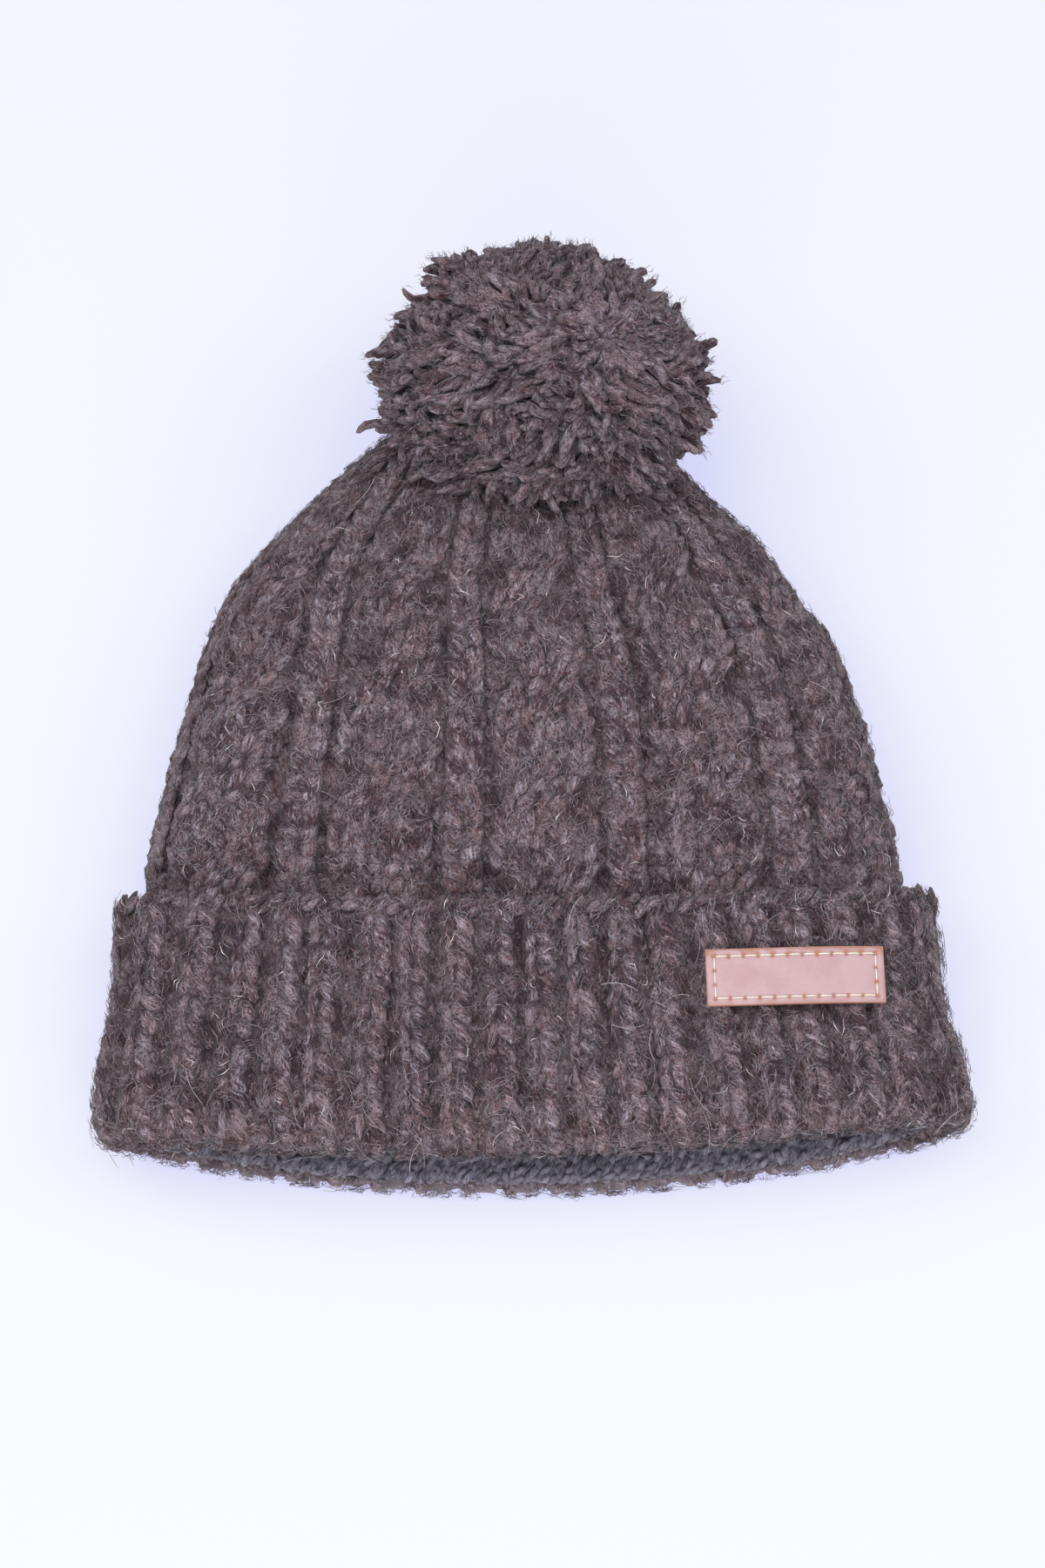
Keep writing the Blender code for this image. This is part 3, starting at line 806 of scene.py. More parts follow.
def sow_ribs(sheet, knit, rng):
    """The knit rib between two cables, with a purl gutter on each side of it."""
    sowing = Sowing(rng)
    rows = crown_rows(sheet, knit)
    gutter = 0.5 * (CABLE_HALF + 0.5 - RIB_HALF)
    for panel in range(CABLES):
        for leg in (-0.5, 0.5):
            turn = CABLE_PHASE + (panel + 0.5) / CABLES + 0.9 * leg * RIB_HALF / CABLES
            along = rows + vary(rng, rows, 0.3)
            width = RIB_HALF / CABLES * sheet.width(along, turn)
            height = crown_relief(sheet.station(along), turn) + 0.05 + vary(rng, rows, 0.2)
            lean = vary(rng, rows, 0.09, math.copysign(knit.lean, leg))
            sowing.lay(sheet, along, turn, height, lean,
                       (width / LEG_WIDTH * 1.3, vary(rng, rows, 0.08, 1.0),
                        np.clip(width / LEG_WIDTH, 0.5, 1.0)))
        for side in (-1.0, 1.0):
            turn = CABLE_PHASE + (panel + side * gutter) / CABLES
            along = rows + 2.5 + vary(rng, rows, 0.3)
            width = (0.5 - RIB_HALF - CABLE_HALF) / CABLES * sheet.width(along, turn)
            height = crown_relief(sheet.station(along), turn) - 0.3 + vary(rng, rows, 0.2)
            sowing.lay(sheet, along, turn, height, vary(rng, rows, 0.3, PURL_LEAN),
                       (1.0, width / LEG_LENGTH * 1.9, 0.6))
    return sowing


def crown_shell(sheet, material):
    """The knit's ground: a fine outer face with the relief, and a plain inner face."""
    turns = turns_of(CROWN_COLUMNS)
    inner = (87.0, 80.0, 74.0, 63.0, 52.0, 37.0, 22.0, 2.0, -18.0, -39.0, -60.0, -79.0, -98.0, CROWN_EDGE)
    outer = (*np.arange(-62.0, 90.0, 3.5), 91.0, 94.0, 96.0, 97.6, 98.8, 99.5)
    rings = [hat_points(station, turns, -WALL) for station in inner]
    rings += [hat_points(station, turns, -0.2) for station in inner[:-4:-1]]
    rings += [sheet.place(sheet.distance(station), turns, crown_relief(station, turns) + 0.6)
              for station in outer]
    return shell("crown_ground", rings, material, capped=True)


class HAT_OT_crown(bpy.types.Operator):
    """Knit the crown: its ground, its cables and the ribs and gutters between them"""
    bl_idname = "hat.crown"
    bl_label = "Crown"

    def execute(self, context):
        knit, colours = context.scene.hat_knit, context.scene.hat_wool
        values = stitch_values(knit, wool("crown_wool", colours, 0.35, shade=0.96))
        sheet = crown_sheet()
        rng = np.random.default_rng(knit.seed)
        for piece in (grow("crown_cables", sow_cables(sheet, knit, rng), values),
                      grow("crown_ribs", sow_ribs(sheet, knit, rng), values),
                      # The ground is the crown's wool darkened to 0.7: painted shade in the gaps between
                      # the stitches.
                      crown_shell(sheet, wool("crown_ground_painted_shade", colours, 0.0, shade=0.7))):
            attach(piece, "root")
            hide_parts("crown")
        return {"FINISHED"}


def cuff_lift(station):
    return CUFF_STAND_OFF * smooth_step((station - CUFF_TOP + CUFF_FLARE) / CUFF_FLARE)


def cuff_path():
    """Stations and offsets of the cuff's outer face, from inside the fold up to the top edge."""
    radius = WALL + 0.5 * GAP
    path = [(CROWN_EDGE + 1.0, -WALL - 0.4)]
    path += [(CROWN_EDGE - GAP - 0.8 + radius * math.sin(angle), 0.5 * GAP + radius * math.cos(angle))
             for angle in np.radians(np.linspace(180.0, 360.0, 37))]
    path += [(station, cuff_lift(station) + GAP + WALL)
             for station in np.arange(CROWN_EDGE, CUFF_TOP, 0.5)]
    return path


def label_press(places):
    """How deep the label presses the ribs under it, from 0 to 1."""
    x, y = places[..., 0] - LABEL_CENTRE[0], places[..., 1] - LABEL_CENTRE[1]
    along, up = turned(x, y, LABEL_TURN)
    inside = smooth_step((LABEL_SIZE[0] / 2 + 3.0 - np.abs(along)) / 4.0)
    inside = inside * smooth_step((LABEL_SIZE[1] / 2 + 3.0 - np.abs(up)) / 4.0)
    return inside * (places[..., 2] > 30.0)


def cuff_relief(along, turn):
    """Height of the ribs' ground over the cuff's mean face. The fold is smoother than the band."""
    fold = 1.0 - smooth_step((np.asarray(along) - 14.0) / 12.0)
    across = off_middle(turn, RIB_PHASE, RIBS)
    groove = GROOVE_DEPTH * (1.0 - 0.5 * fold)
    return CUFF_GROUND + 0.25 * fold - groove * (1.0 - smooth_step((0.47 - across) / 0.16))


def sow_cuff(sheet, knit, rng):
    """Single rib: a knit wale and a purl wale in turn, over the fold and up to a cast-on edge.
    Round the fold the legs are short, so that they follow it."""
    sowing = Sowing(rng)
    row = knit.row / MM
    rows = np.concatenate((np.arange(1.5, FOLD_END, 0.6 * row),
                           np.arange(FOLD_END + 0.8 * row, sheet.along[-1] - 1.0, row)))
    folded = rows < FOLD_END + 0.5
    length = np.where(folded, FOLD_LENGTH, 1.0)
    leg_place = np.where(folded, 0.25, 0.165)
    for rib in range(RIBS):
        drift = LEG_DRIFT * np.cumsum(vary(rng, rows, 1.0)) + rng.normal(0.0, 0.10)
        for leg in (-1.0, 1.0):
            # The right leg of each stitch is the broad one.
            along = rows + vary(rng, rows, 0.5) * length
            turn = RIB_PHASE + (rib + leg * leg_place + drift * 0.3) / RIBS
            height = cuff_relief(along, turn) - np.where(folded, 0.75, 0.1) + 0.25 * leg
            height += vary(rng, rows, 0.2)
            lean = vary(rng, rows, 0.13, -leg * (1.15 + 0.4 * leg) * knit.lean)
            sizes = (vary(rng, rows, 0.1, 1.25 + 0.2 * leg), length * vary(rng, rows, 0.1, 1.0), 1.0)
            sowing.lay(sheet, along, turn, height, lean, sizes, press=0.5)
        turn = RIB_PHASE + (rib + 0.5) / RIBS
        along = rows + 0.5 * row * length + vary(rng, rows, 0.4) * length
        lean = vary(rng, rows, 0.35, PURL_LEAN)
        sowing.lay(sheet, along, turn, cuff_relief(along, turn) - 0.1, lean, (length, 0.6, 0.6))
    return sowing


def sow_cuff_edge(sheet, rng):
    """The cast-on edge: short slanted lengths of yarn along the top of the cuff in two rounds."""
    sowing = Sowing(rng)
    stitches = np.arange(EDGE_STITCHES)
    for number, (back, height) in enumerate(((0.9, -0.9), (-0.6, -2.6))):
        turn = (stitches + 0.5 * number + vary(rng, stitches, 0.12)) / len(stitches)
        along = vary(rng, stitches, 0.45, sheet.along[-1] - back)
        sowing.lay(sheet, along, turn, vary(rng, stitches, 0.3, height), vary(rng, stitches, 0.35, 1.05),
                   (vary(rng, stitches, 0.08, 0.95), 0.95, 0.95))
    return sowing


def cuff_shell(sheet, material):
    """The ribs' ground, closed by a plain inner face."""
    turns = turns_of(CUFF_COLUMNS)
    rings = [sheet.place(along, turns, cuff_relief(along, turns) + 0.2)
             for along in np.arange(0.0, sheet.along[-1] - 1.0, 3.0)]
    rings.append(hat_points(CUFF_TOP - 0.6, turns, cuff_lift(CUFF_TOP) + GAP + 0.5 * WALL))
    rings += [hat_points(station, turns, cuff_lift(station) + GAP)
              for station in (CUFF_TOP - 2.0, -66.0, -79.0, -98.0, -117.0)]
    rings.append(hat_points(CROWN_EDGE - GAP, turns, GAP))
    return shell("cuff_ground", rings, material)


class HAT_OT_cuff(bpy.types.Operator):
    """Knit the turned-up cuff: its ground, its ribs and its cast-on edge"""
    bl_idname = "hat.cuff"
    bl_label = "Cuff"

    def execute(self, context):
        knit, colours = context.scene.hat_knit, context.scene.hat_wool
        values = stitch_values(knit, wool("cuff_wool", colours, 0.35, rim=1.0))
        sheet = Sheet(cuff_path())
        rng = np.random.default_rng(knit.seed + 1)
        for piece in (grow("cuff_stitches", sow_cuff(sheet, knit, rng), values),
                      grow("cuff_edge", sow_cuff_edge(sheet, rng), values),
                      # The ground is the cuff's wool darkened to 0.65: painted shade in the grooves and
                      # gaps between the stitches.
                      cuff_shell(sheet, wool("cuff_ground_painted_shade", colours, 0.0, shade=0.65, rim=1.0))):
            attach(piece, "root")
            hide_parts("cuff")
        return {"FINISHED"}


def lining_path():
    """Stations and offsets of the fleece's face, from its turned lower edge inwards."""
    radius = 0.5 * FLEECE
    path = [(LINING_START + radius - radius * math.cos(angle),
             LINING_FACE - radius + radius * math.sin(angle))
            for angle in np.radians(np.linspace(80.0, -90.0, 18))]
    path += [(station, LINING_FACE - FLEECE)
             for station in np.arange(LINING_START + 2.0, LINING_START + LINING_DEPTH)]
    return path


def sow_lining(sheet, rng):
    """Slanted loops of fleece in staggered rows on the part that shows in the rim."""
    sowing = Sowing(rng)
    loops = np.arange(LINING_LOOPS)
    for number, row in enumerate(np.arange(0.8, 17.5, 2.6)):
        turn = (loops + 0.5 * (number % 2)) / len(loops) + vary(rng, loops, 0.0009)
        along = vary(rng, loops, 0.45, row)
        sowing.lay(sheet, along, turn, vary(rng, loops, 0.35, 0.3), vary(rng, loops, 0.4, 0.55),
                   (vary(rng, loops, 0.07, 0.66), vary(rng, loops, 0.07, 0.58), 0.7), side=-1.0)
    return sowing


def fleece_material(colours):
    """Looped fleece: dark and pale blue-grey fibres along the loops."""
    material, graph, shader = new_material("lining_fleece", 1.0, 0.12)
    place, tone = yarn_place(graph, 0.6, 0.3, 0.5)
    patches = graph.noise(graph.place(), 300.0, 2.0, 0.6)
    lifted = graph.noise(place, 1.0, 3.0, 0.6, 0.4) * 0.7 + patches * 0.3 + (tone - 0.5) * 0.1
    tones = shades(colours.fleece_deep, 1.0) + shades(colours.fleece, 1.0, 1.9)
    base = graph.ramp(lifted, (0.36, 0.52, 0.70), tones)
    cover(graph, shader, base, lifted, 0.3 * MM, 0.9)
    return material


class HAT_OT_lining(bpy.types.Operator):
    """Line the rim with looped fleece"""
    bl_idname = "hat.lining"
    bl_label = "Lining"

    def execute(self, context):
        knit = context.scene.hat_knit
        material = fleece_material(context.scene.hat_wool)
        values = {**stitch_values(knit, material), "Thickness": 3.0 * MM, "Arch": 1.6 * MM,
                  "Wobble": 1.2 * MM, "Roughness": 0.8 * MM}
        sheet = Sheet(lining_path())
        turns = turns_of(LINING_COLUMNS)
        rings = [hat_points(station, turns, LINING_FACE)
                 for station in (-59.5, -79.0, -98.0, -118.0, LINING_START + 1.2)]
        rings += [sheet.place(along, turns, -0.2)
                  for along in (1.0, 2.0, 3.0, 4.0, *np.arange(6.0, sheet.along[-1], 4.0))]
        loops = sow_lining(sheet, np.random.default_rng(knit.seed + 2))
        for piece in (grow("lining_loops", loops, values), shell("lining_ground", rings, material)):
            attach(piece, "root")
            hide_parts("lining_band")
        return {"FINISHED"}


def sphere_points(count):
    """Directions spread evenly over a sphere."""
    number = np.arange(count) + 0.5
    height = 1.0 - 2.0 * number / count
    angle = math.pi * (1.0 + math.sqrt(5.0)) * number
    level = np.sqrt(1.0 - height * height)
    return np.stack((level * np.cos(angle), level * np.sin(angle), height), axis=1)


def ball_places(directions, share):
    """Places along directions, at a share of the way from the pompom's middle to its surface."""
    rough = np.array([noise.noise(Vector(d) * 3.1) for d in directions])
    half = np.array(POMPOM_HALF) * (1.0 + 0.06 * rough)[:, None]
    x, y = directions[:, 0], directions[:, 1]
    half[:, 0] *= 1.0 - POMPOM_TAPER * y
    half *= (0.985 - 0.045 * x * y + 0.02 * x * smooth_step(y + 0.5))[:, None]
    half[:, 1] *= 1.0 - 0.06 * smooth_step((y - 0.75) / 0.2)
    return POMPOM_CENTRE + half * directions * share


def height_over_crown(places):
    """Height of places over the crown's face, negative inside it."""
    stations, turns = np.arange(30.0, 100.0, 2.0), turns_of(160)
    face, outside = [np.concatenate([hat_points(station, turns, offset) for station in stations])
                     for offset in (0.0, 1.0)]
    nearest = [((face - place) ** 2).sum(axis=1).argmin() for place in places]
    return np.array([(place - face[i]) @ (outside[i] - face[i]) for place, i in zip(places, nearest)])


def strand_ends(settings, rng):
    """Roots and tips of the yarn ends. They gather into locks, lean at random, and lie flatter
    round the point where the tie pulls them in."""
    star = unit(STAR)
    count = settings.strands
    directions = unit(sphere_points(count) + rng.normal(0.0, 0.025, (count, 3)))
    locks = sphere_points(settings.locks)
    nearest = (directions @ locks.T).argmax(axis=1)
    lock_length = 0.99 + rng.normal(0.0, 0.025, settings.locks)
    lengths = lock_length[nearest] * (1.0 + rng.normal(0.0, 0.04, count))
    tips = ball_places(unit(directions * (1.0 - LOCK_PULL) + locks[nearest] * LOCK_PULL), lengths[:, None])
    closeness = smooth_step((directions @ star - 0.70) / 0.26)[:, None]
    facing = smooth_step((directions @ star + 0.1) / 0.8)[:, None]
    swirl = [[noise.noise(Vector(d) * 2.6 + Vector(shift)) for shift in SWIRL_SHIFTS] for d in directions]
    lean = 0.56 * np.array(swirl) + rng.normal(0.0, 0.085, (count, 3))
    pull = 0.54 * closeness + 0.20 * facing
    toward = unit(directions * (1.0 - 0.55 * closeness) + star * pull + lean)
    roots = ball_places(toward, 0.74 + 0.15 * closeness)
    side = unit(np.cross(star, (0.0, 1.0, 0.0)))
    turns = rng.uniform(0.0, 2.0 * math.pi, settings.flat)[:, None]
    outward = np.cos(turns) * side + np.sin(turns) * np.cross(side, star)
    flat_tips = ball_places(unit(star + outward * rng.uniform(0.24, 0.42, turns.shape)), 1.02)
    flat_roots = ball_places(unit(star + outward * rng.uniform(0.02, 0.10, turns.shape)), 0.94)
    strays = np.array(STRAY_TIPS)
    stray_roots = POMPOM_CENTRE + 0.70 * (strays - POMPOM_CENTRE) + rng.normal(0.0, 2.0, strays.shape)
    roots = np.concatenate((roots, flat_roots, stray_roots))
    tips = np.concatenate((tips, flat_tips, strays))
    keep = (height_over_crown(tips) > DEEPEST_TIP) & (tips[:, 2] > LOWEST_TIP)
    return roots[keep], tips[keep]


def sow_pompom(roots, tips, rng):
    """The yarn ends as two sowings, the near side of the ball and the far one."""
    y_axes = unit(tips - roots)
    other = unit(np.cross(y_axes, rng.normal(0.0, 1.0, y_axes.shape)))
    normal = np.cross(other, y_axes)
    thick = 1.0 + rng.normal(0.0, 0.12, len(tips))
    length = np.linalg.norm(tips - roots, axis=1) / END_LENGTH
    tones = rng.uniform(0.0, 1.0, len(tips))
    middles = 0.5 * (tips + roots)
    near = middles[:, 1] < np.median(middles[:, 1])
    parts = Sowing(rng), Sowing(rng)
    for part, own in zip(parts, (near, ~near)):
        part.add(middles[own], other[own], y_axes[own], normal[own], 0.0,
                 (thick[own], length[own], thick[own]), tones[own])
    return parts


def core_ball(material):
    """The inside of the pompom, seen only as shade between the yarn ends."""
    ball = bmesh.new()
    bmesh.ops.create_icosphere(ball, subdivisions=4, radius=1.0)
    places = ball_places(np.array([vert.co[:] for vert in ball.verts]), CORE_SHARE)
    pull = np.clip((1.0 - height_over_crown(places)) / 40.0, 0.0, 0.8)[:, None]
    places += (POMPOM_CENTRE - places) * pull
    for vert, place in zip(ball.verts, (places - ORIGIN) * MM):
        vert.co = place
    mesh = bpy.data.meshes.new("pompom_core")
    ball.to_mesh(mesh)
    ball.free()
    return add_piece("pompom_core", mesh, material)


class HAT_OT_pompom(bpy.types.Operator):
    """Wind the pompom: twisted yarn ends on a packed core"""
    bl_idname = "hat.pompom"
    bl_label = "Pompom"

    def execute(self, context):
        colours, settings = context.scene.hat_wool, context.scene.hat_pompom
        rng = np.random.default_rng(settings.seed)
        near, far = sow_pompom(*strand_ends(settings, rng), rng)
        values = {"Length": END_LENGTH * MM, "Width": settings.thickness, "Thickness": settings.thickness,
                  "Arch": 0.8 * MM, "Fullness": 9.0, "Bend": 1.5 * MM, "Curl": 0.45 * MM,
                  "Wobble": 2.2 * MM, "Roughness": 0.4 * MM, "Sides": 5, "Rings": 8,
                  "Material": wool("pompom_wool", colours, 1.3, 2.8, END_LENGTH, shade=1.05)}
        for piece in (grow("pompom_near", near, values), grow("pompom_far", far, values),
                      core_ball(wool("pompom_shade", colours, 0.0))):
            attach(piece, "root")
            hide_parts("pompom")
        return {"FINISHED"}


def front_point(x, y, offset):
    """The point at this offset from the front face that has this x and y."""
    turns = np.linspace(0.0, 0.22, 89)
    station = y
    for _ in range(4):
        points = hat_points(station, turns, offset)
        turn = np.interp(x, points[:, 0], turns)
        point = hat_points(station, np.array([turn]), offset)[0]
        station += y - point[1]
    return point


class LabelFace:
    """Places on the label, read by the length along it, the length up it and the height."""

    def __init__(self):
        under = 0.2 * CUFF_STAND_OFF + GAP + WALL + LABEL_STAND_OFF + GAP
        cos, sin = math.cos(LABEL_TURN), math.sin(LABEL_TURN)
        self.alongs = np.linspace(-0.5, 0.5, 11) * LABEL_SIZE[0]
        self.ups = np.linspace(-0.5, 0.5, 4) * LABEL_SIZE[1]
        self.faces = [np.array([[front_point(LABEL_CENTRE[0] + a * cos - u * sin,
                                             LABEL_CENTRE[1] + a * sin + u * cos, offset)
                                 for a in self.alongs] for u in self.ups])
                      for offset in (under, under + LABEL_THICKNESS)]

    def place(self, along, up, height):
        column, row = [np.clip(np.interp(place, places, np.arange(len(places))), 0.0, len(places) - 1.001)
                       for place, places in ((along, self.alongs), (up, self.ups))]
        i, j = column.astype(int), row.astype(int)
        x, y = (column - i)[..., None], (row - j)[..., None]
        low, high = [(face[j, i] * (1 - x) * (1 - y) + face[j, i + 1] * x * (1 - y)
                      + face[j + 1, i] * (1 - x) * y + face[j + 1, i + 1] * x * y) for face in self.faces]
        return low + (high - low) * (np.asarray(height)[..., None] / LABEL_THICKNESS)


def label_holes():
    """Needle holes round the label in sewing order, starting at the top left."""
    half_along = LABEL_SIZE[0] / 2 - LABEL_INSET[0]
    half_up = LABEL_SIZE[1] / 2 - LABEL_INSET[1]
    alongs = np.linspace(-half_along, half_along, LABEL_HOLES[0])
    ups = np.linspace(half_up, -half_up, LABEL_HOLES[1])
    holes = [(a, half_up) for a in alongs] + [(half_along, u) for u in ups[1:-1]]
    holes += [(a, -half_up) for a in alongs[::-1]] + [(-half_along, u) for u in ups[-2:0:-1]]
    return np.array(holes)


def label_leather(face, holes, material):
    """The leather: two layers with worn edges, dimpled at the needle holes."""
    wide, tall = 97, 33
    half_along, half_up = LABEL_SIZE[0] / 2, LABEL_SIZE[1] / 2
    u, v = [np.sign(share) * np.abs(share) ** power * half
            for share, power, half in ((np.linspace(-1.0, 1.0, wide), 0.92, half_along),
                                       (np.linspace(-1.0, 1.0, tall), 0.85, half_up))]
    u, v = [grid.ravel() for grid in np.meshgrid(u, v)]
    border = np.minimum(half_along - np.abs(u), half_up - np.abs(v))
    near = np.sqrt(((np.stack((u, v), axis=1)[:, None] - holes) ** 2).sum(axis=2)).min(axis=1)
    soft = np.clip(1.0 - border / 0.45, 0.0, 1.0)
    seam = np.exp(-((v + half_up - 0.75) / 0.16) ** 2)
    wear = np.array([noise.noise(Vector((0.22 * a, 0.35 * b, 4.0))) for a, b in zip(u, v)])
    wear = np.clip(0.25 + 1.6 * wear, 0.0, 0.6) * np.exp(-((v - half_up + 1.2) / 1.1) ** 2)
    height = LABEL_THICKNESS - 0.3 * soft ** 2 - 0.42 * np.exp(-(near / 0.55) ** 2)
    height -= 0.10 * np.exp(-((border - LABEL_INSET[1]) / 0.5) ** 2) + 0.18 * seam
    tints = np.exp(-border / 0.5) + 1.9 * np.exp(-(near / 0.66) ** 2) + 0.5 * seam + wear
    grid = np.arange(wide * tall).reshape(tall, wide)
    faces = np.stack((grid[:-1, :-1], grid[:-1, 1:], grid[1:, 1:], grid[1:, :-1]), axis=2)
    faces = faces.reshape(-1, 4).tolist()
    rim = np.concatenate((grid[0], grid[1:, -1], grid[-1, -2::-1], grid[-2:0:-1, 0]))
    points = [face.place(u, v, height)]
    ring = rim
    for level, inset in ((0.90, 0.0), (0.80, 0.22), (0.70, 0.22), (0.60, 0.0), (0.1, 0.0), (0.0, 0.15)):
        above, ring = ring, np.arange(len(rim)) + sum(len(part) for part in points)
        points.append(face.place(u[rim] * (1.0 - inset / half_along), v[rim] * (1.0 - inset / half_up),
                                 level * LABEL_THICKNESS))
        faces += np.stack((above, ring, np.roll(ring, -1), np.roll(above, -1)), axis=1).tolist()
    bottom = dict(zip(rim.tolist(), ring.tolist()))
    for c in range(wide - 1):
        right = grid[1:-1, -1] if c == wide - 2 else ()
        left = grid[-2:0:-1, 0] if c == 0 else ()
        strip = (*grid[0, c:c + 2], *right, grid[-1, c + 1], grid[-1, c], *left)
        faces.append([bottom[i] for i in strip[::-1]])
    points = np.concatenate(points)
    mesh = bpy.data.meshes.new("label_leather")
    mesh.from_pydata(((points - ORIGIN) * MM).tolist(), [], faces)
    worn = np.ones(len(points), np.float32)
    worn[:len(tints)] = np.clip(tints, 0.0, 1.0)
    mesh.attributes.new("worn", "FLOAT", "POINT").data.foreach_set("value", worn)
    return add_piece("label_leather", mesh, material)


def leather_material(settings):
    """Smooth leather with soft blotches and a fine grain, redder where it is worn."""
    material, graph, shader = new_material("label_leather", 0.42, 0.0)
    shader.inputs["Specular IOR Level"].default_value = 0.45
    place = graph.place()
    blotches = graph.noise(place, 130.0, 3.0, 0.6)
    leather = tuple(settings.leather)
    base = graph.mix(graph.ramp(blotches, (0.40, 0.62), (0.0, 1.0)), leather,
                     tuple(c * k for c, k in zip(leather, (0.92, 0.87, 0.87))))
    patchy = graph.ramp(graph.attribute("worn") + (blotches - 0.5) * 0.8, (0.30, 0.90), (0.0, 1.0))
    base = graph.mix(patchy * 0.85, base, tuple(settings.edge))
    cover(graph, shader, base, graph.noise(place, 1500.0, 2.0, 0.6) * 0.6 + blotches, 0.12 * MM, 0.8)
    return material


def thread_material(settings):
    """Sewing thread with light and dark strands along its twist."""
    material, graph, shader = new_material("label_thread", 0.6, 0.2)
    place, _ = yarn_place(graph, 1.4, 0.3, 0.9)
    strands = graph.noise(place, 1.0, 2.0)
    base = graph.ramp(strands, (0.40, 0.58), shades(settings.thread, 0.72, 1.0))
    cover(graph, shader, base, strands, 0.1 * MM, 0.8)
    return material


class HAT_OT_label(bpy.types.Operator):
    """Sew on the leather label: its leather and the thread round its border"""
    bl_idname = "hat.label"
    bl_label = "Label"

    def execute(self, context):
        settings = context.scene.hat_label
        face, holes = LabelFace(), label_holes()
        beyond = np.roll(holes, -1, axis=0)
        starts, ends = [face.place(*place.T, LABEL_THICKNESS) for place in (holes, beyond)]
        under, middles, over = [face.place(*(0.5 * (holes + beyond)).T, height)
                                for height in (0.0, LABEL_THICKNESS - 0.02, 2.0 * LABEL_THICKNESS)]
        y_axes = unit(ends - starts)
        across = unit(np.cross(y_axes, unit(over - under)))
        length = np.linalg.norm(ends - starts, axis=1) / THREAD_LENGTH
        sowing = Sowing(np.random.default_rng(1))
        sowing.add(middles, across, y_axes, np.cross(across, y_axes), 0.0, (1.0, length * 0.86, 1.0))
        values = {"Length": THREAD_LENGTH * MM, "Width": 0.46 * MM, "Thickness": 0.46 * MM,
                  "Arch": 0.42 * MM, "Fullness": 5.0, "Sides": 6, "Rings": 8,
                  "Material": thread_material(settings)}
        for piece in (label_leather(face, holes, leather_material(settings)),
                      grow("label_thread", sowing, values)):
            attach(piece, "root")
            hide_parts("label_patch")
        return {"FINISHED"}


def fibre_material(name, colours, rusty):
    """Single fibres, each of one shade: brown, pale grey, rust or white. rusty is the share of rust."""
    material, graph, shader = new_material(name, 0.8, 0.1)
    rust = 0.97 - rusty
    tones = (shades(colours.deep, 1.0) + shades(colours.brown, 1.0) + shades(colours.pale, 0.9, 1.5)
             + shades(colours.rust, 1.0, 1.8) + shades(colours.pale, 1.9) + [(0.80, 0.76, 0.74)])
    places = (0.0, 0.25 * rust, 0.60 * rust, rust, rust + 0.01, 0.97, 0.98, 0.995)
    graph.plug(graph.ramp(graph.attribute("tone"), places, tones), shader.inputs["Base Color"])
    return material


def spread_tufts(rng, values, tuft, spread):
    """Each value repeated for the fibres of its tuft, with a random difference."""
    many = np.repeat(values, tuft, axis=0)
    return many + vary(rng, many, spread)


def fibre_sizes(rng, count, low, high):
    """Random sizes whose bends go either way."""
    return (rng.uniform(0.7, 1.3, count) * rng.choice((-1.0, 1.0), count), rng.uniform(low, high, count),
            rng.uniform(0.7, 1.3, count))


def sow_sheet_fibres(rng, tuft, lift, sizes, *layers):
    """Fibres over layers of the hat, more on the front than the back. Those of a tuft share a
    direction and a tone, and are lifted by up to an angle. sizes are the lowest and the highest
    share of a fibre's length. A layer is a sheet with its relief, a share of its length and the
    number of fibres."""
    sowing = Sowing(rng)
    for (sheet, relief), share, count in layers:
        tries = int(count) // tuft * 4
        along = rng.uniform(*share, tries) * sheet.along[-1]
        turn = rng.uniform(0.0, 1.0, tries)
        wanted = sheet.width(along, turn) / sheet.girth.max()
        wanted = wanted * np.where(np.cos(2.0 * math.pi * turn) > 0.0, 1.0, 0.5)
        wanted = wanted * (0.12 + 0.88 * smooth_step((relief(along, turn) + 3.2) / 2.2))
        chosen = np.nonzero(rng.uniform(0.0, 1.0, tries) < wanted)[0][:tries // 4]
        along = spread_tufts(rng, along[chosen], tuft, 0.8)
        along = np.clip(along, share[0] * sheet.along[-1], share[1] * sheet.along[-1])
        turn = spread_tufts(rng, turn[chosen], tuft, 0.8 / sheet.girth.mean())
        across, forward, normal = sheet.axes(along, turn)
        places = sheet.place(along, turn, relief(along, turn) + rng.uniform(0.5, 1.7, len(along)))
        places = places - 2.5 * label_press(places)[:, None] * normal
        own_sizes = fibre_sizes(rng, len(along), *sizes)
        angle = spread_tufts(rng, vary(rng, chosen, 0.85), tuft, 0.35)[:, None]
        y_axes, x_axes = turned(forward, across, angle)
        y_axes, normal = turned(y_axes, normal, rng.uniform(-0.2, lift, len(places))[:, None])
        tones = 0.04 + 0.91 * rng.uniform(0.0, 1.0, len(chosen)) ** 1.35
        tones = np.clip(spread_tufts(rng, tones, tuft, 0.16), 0.0, 0.975)
        tones = np.where(rng.uniform(0.0, 1.0, len(places)) < 0.012, 1.0, tones)
        sowing.add(places, x_axes, y_axes, normal, 0.0, own_sizes, tones)
    return sowing


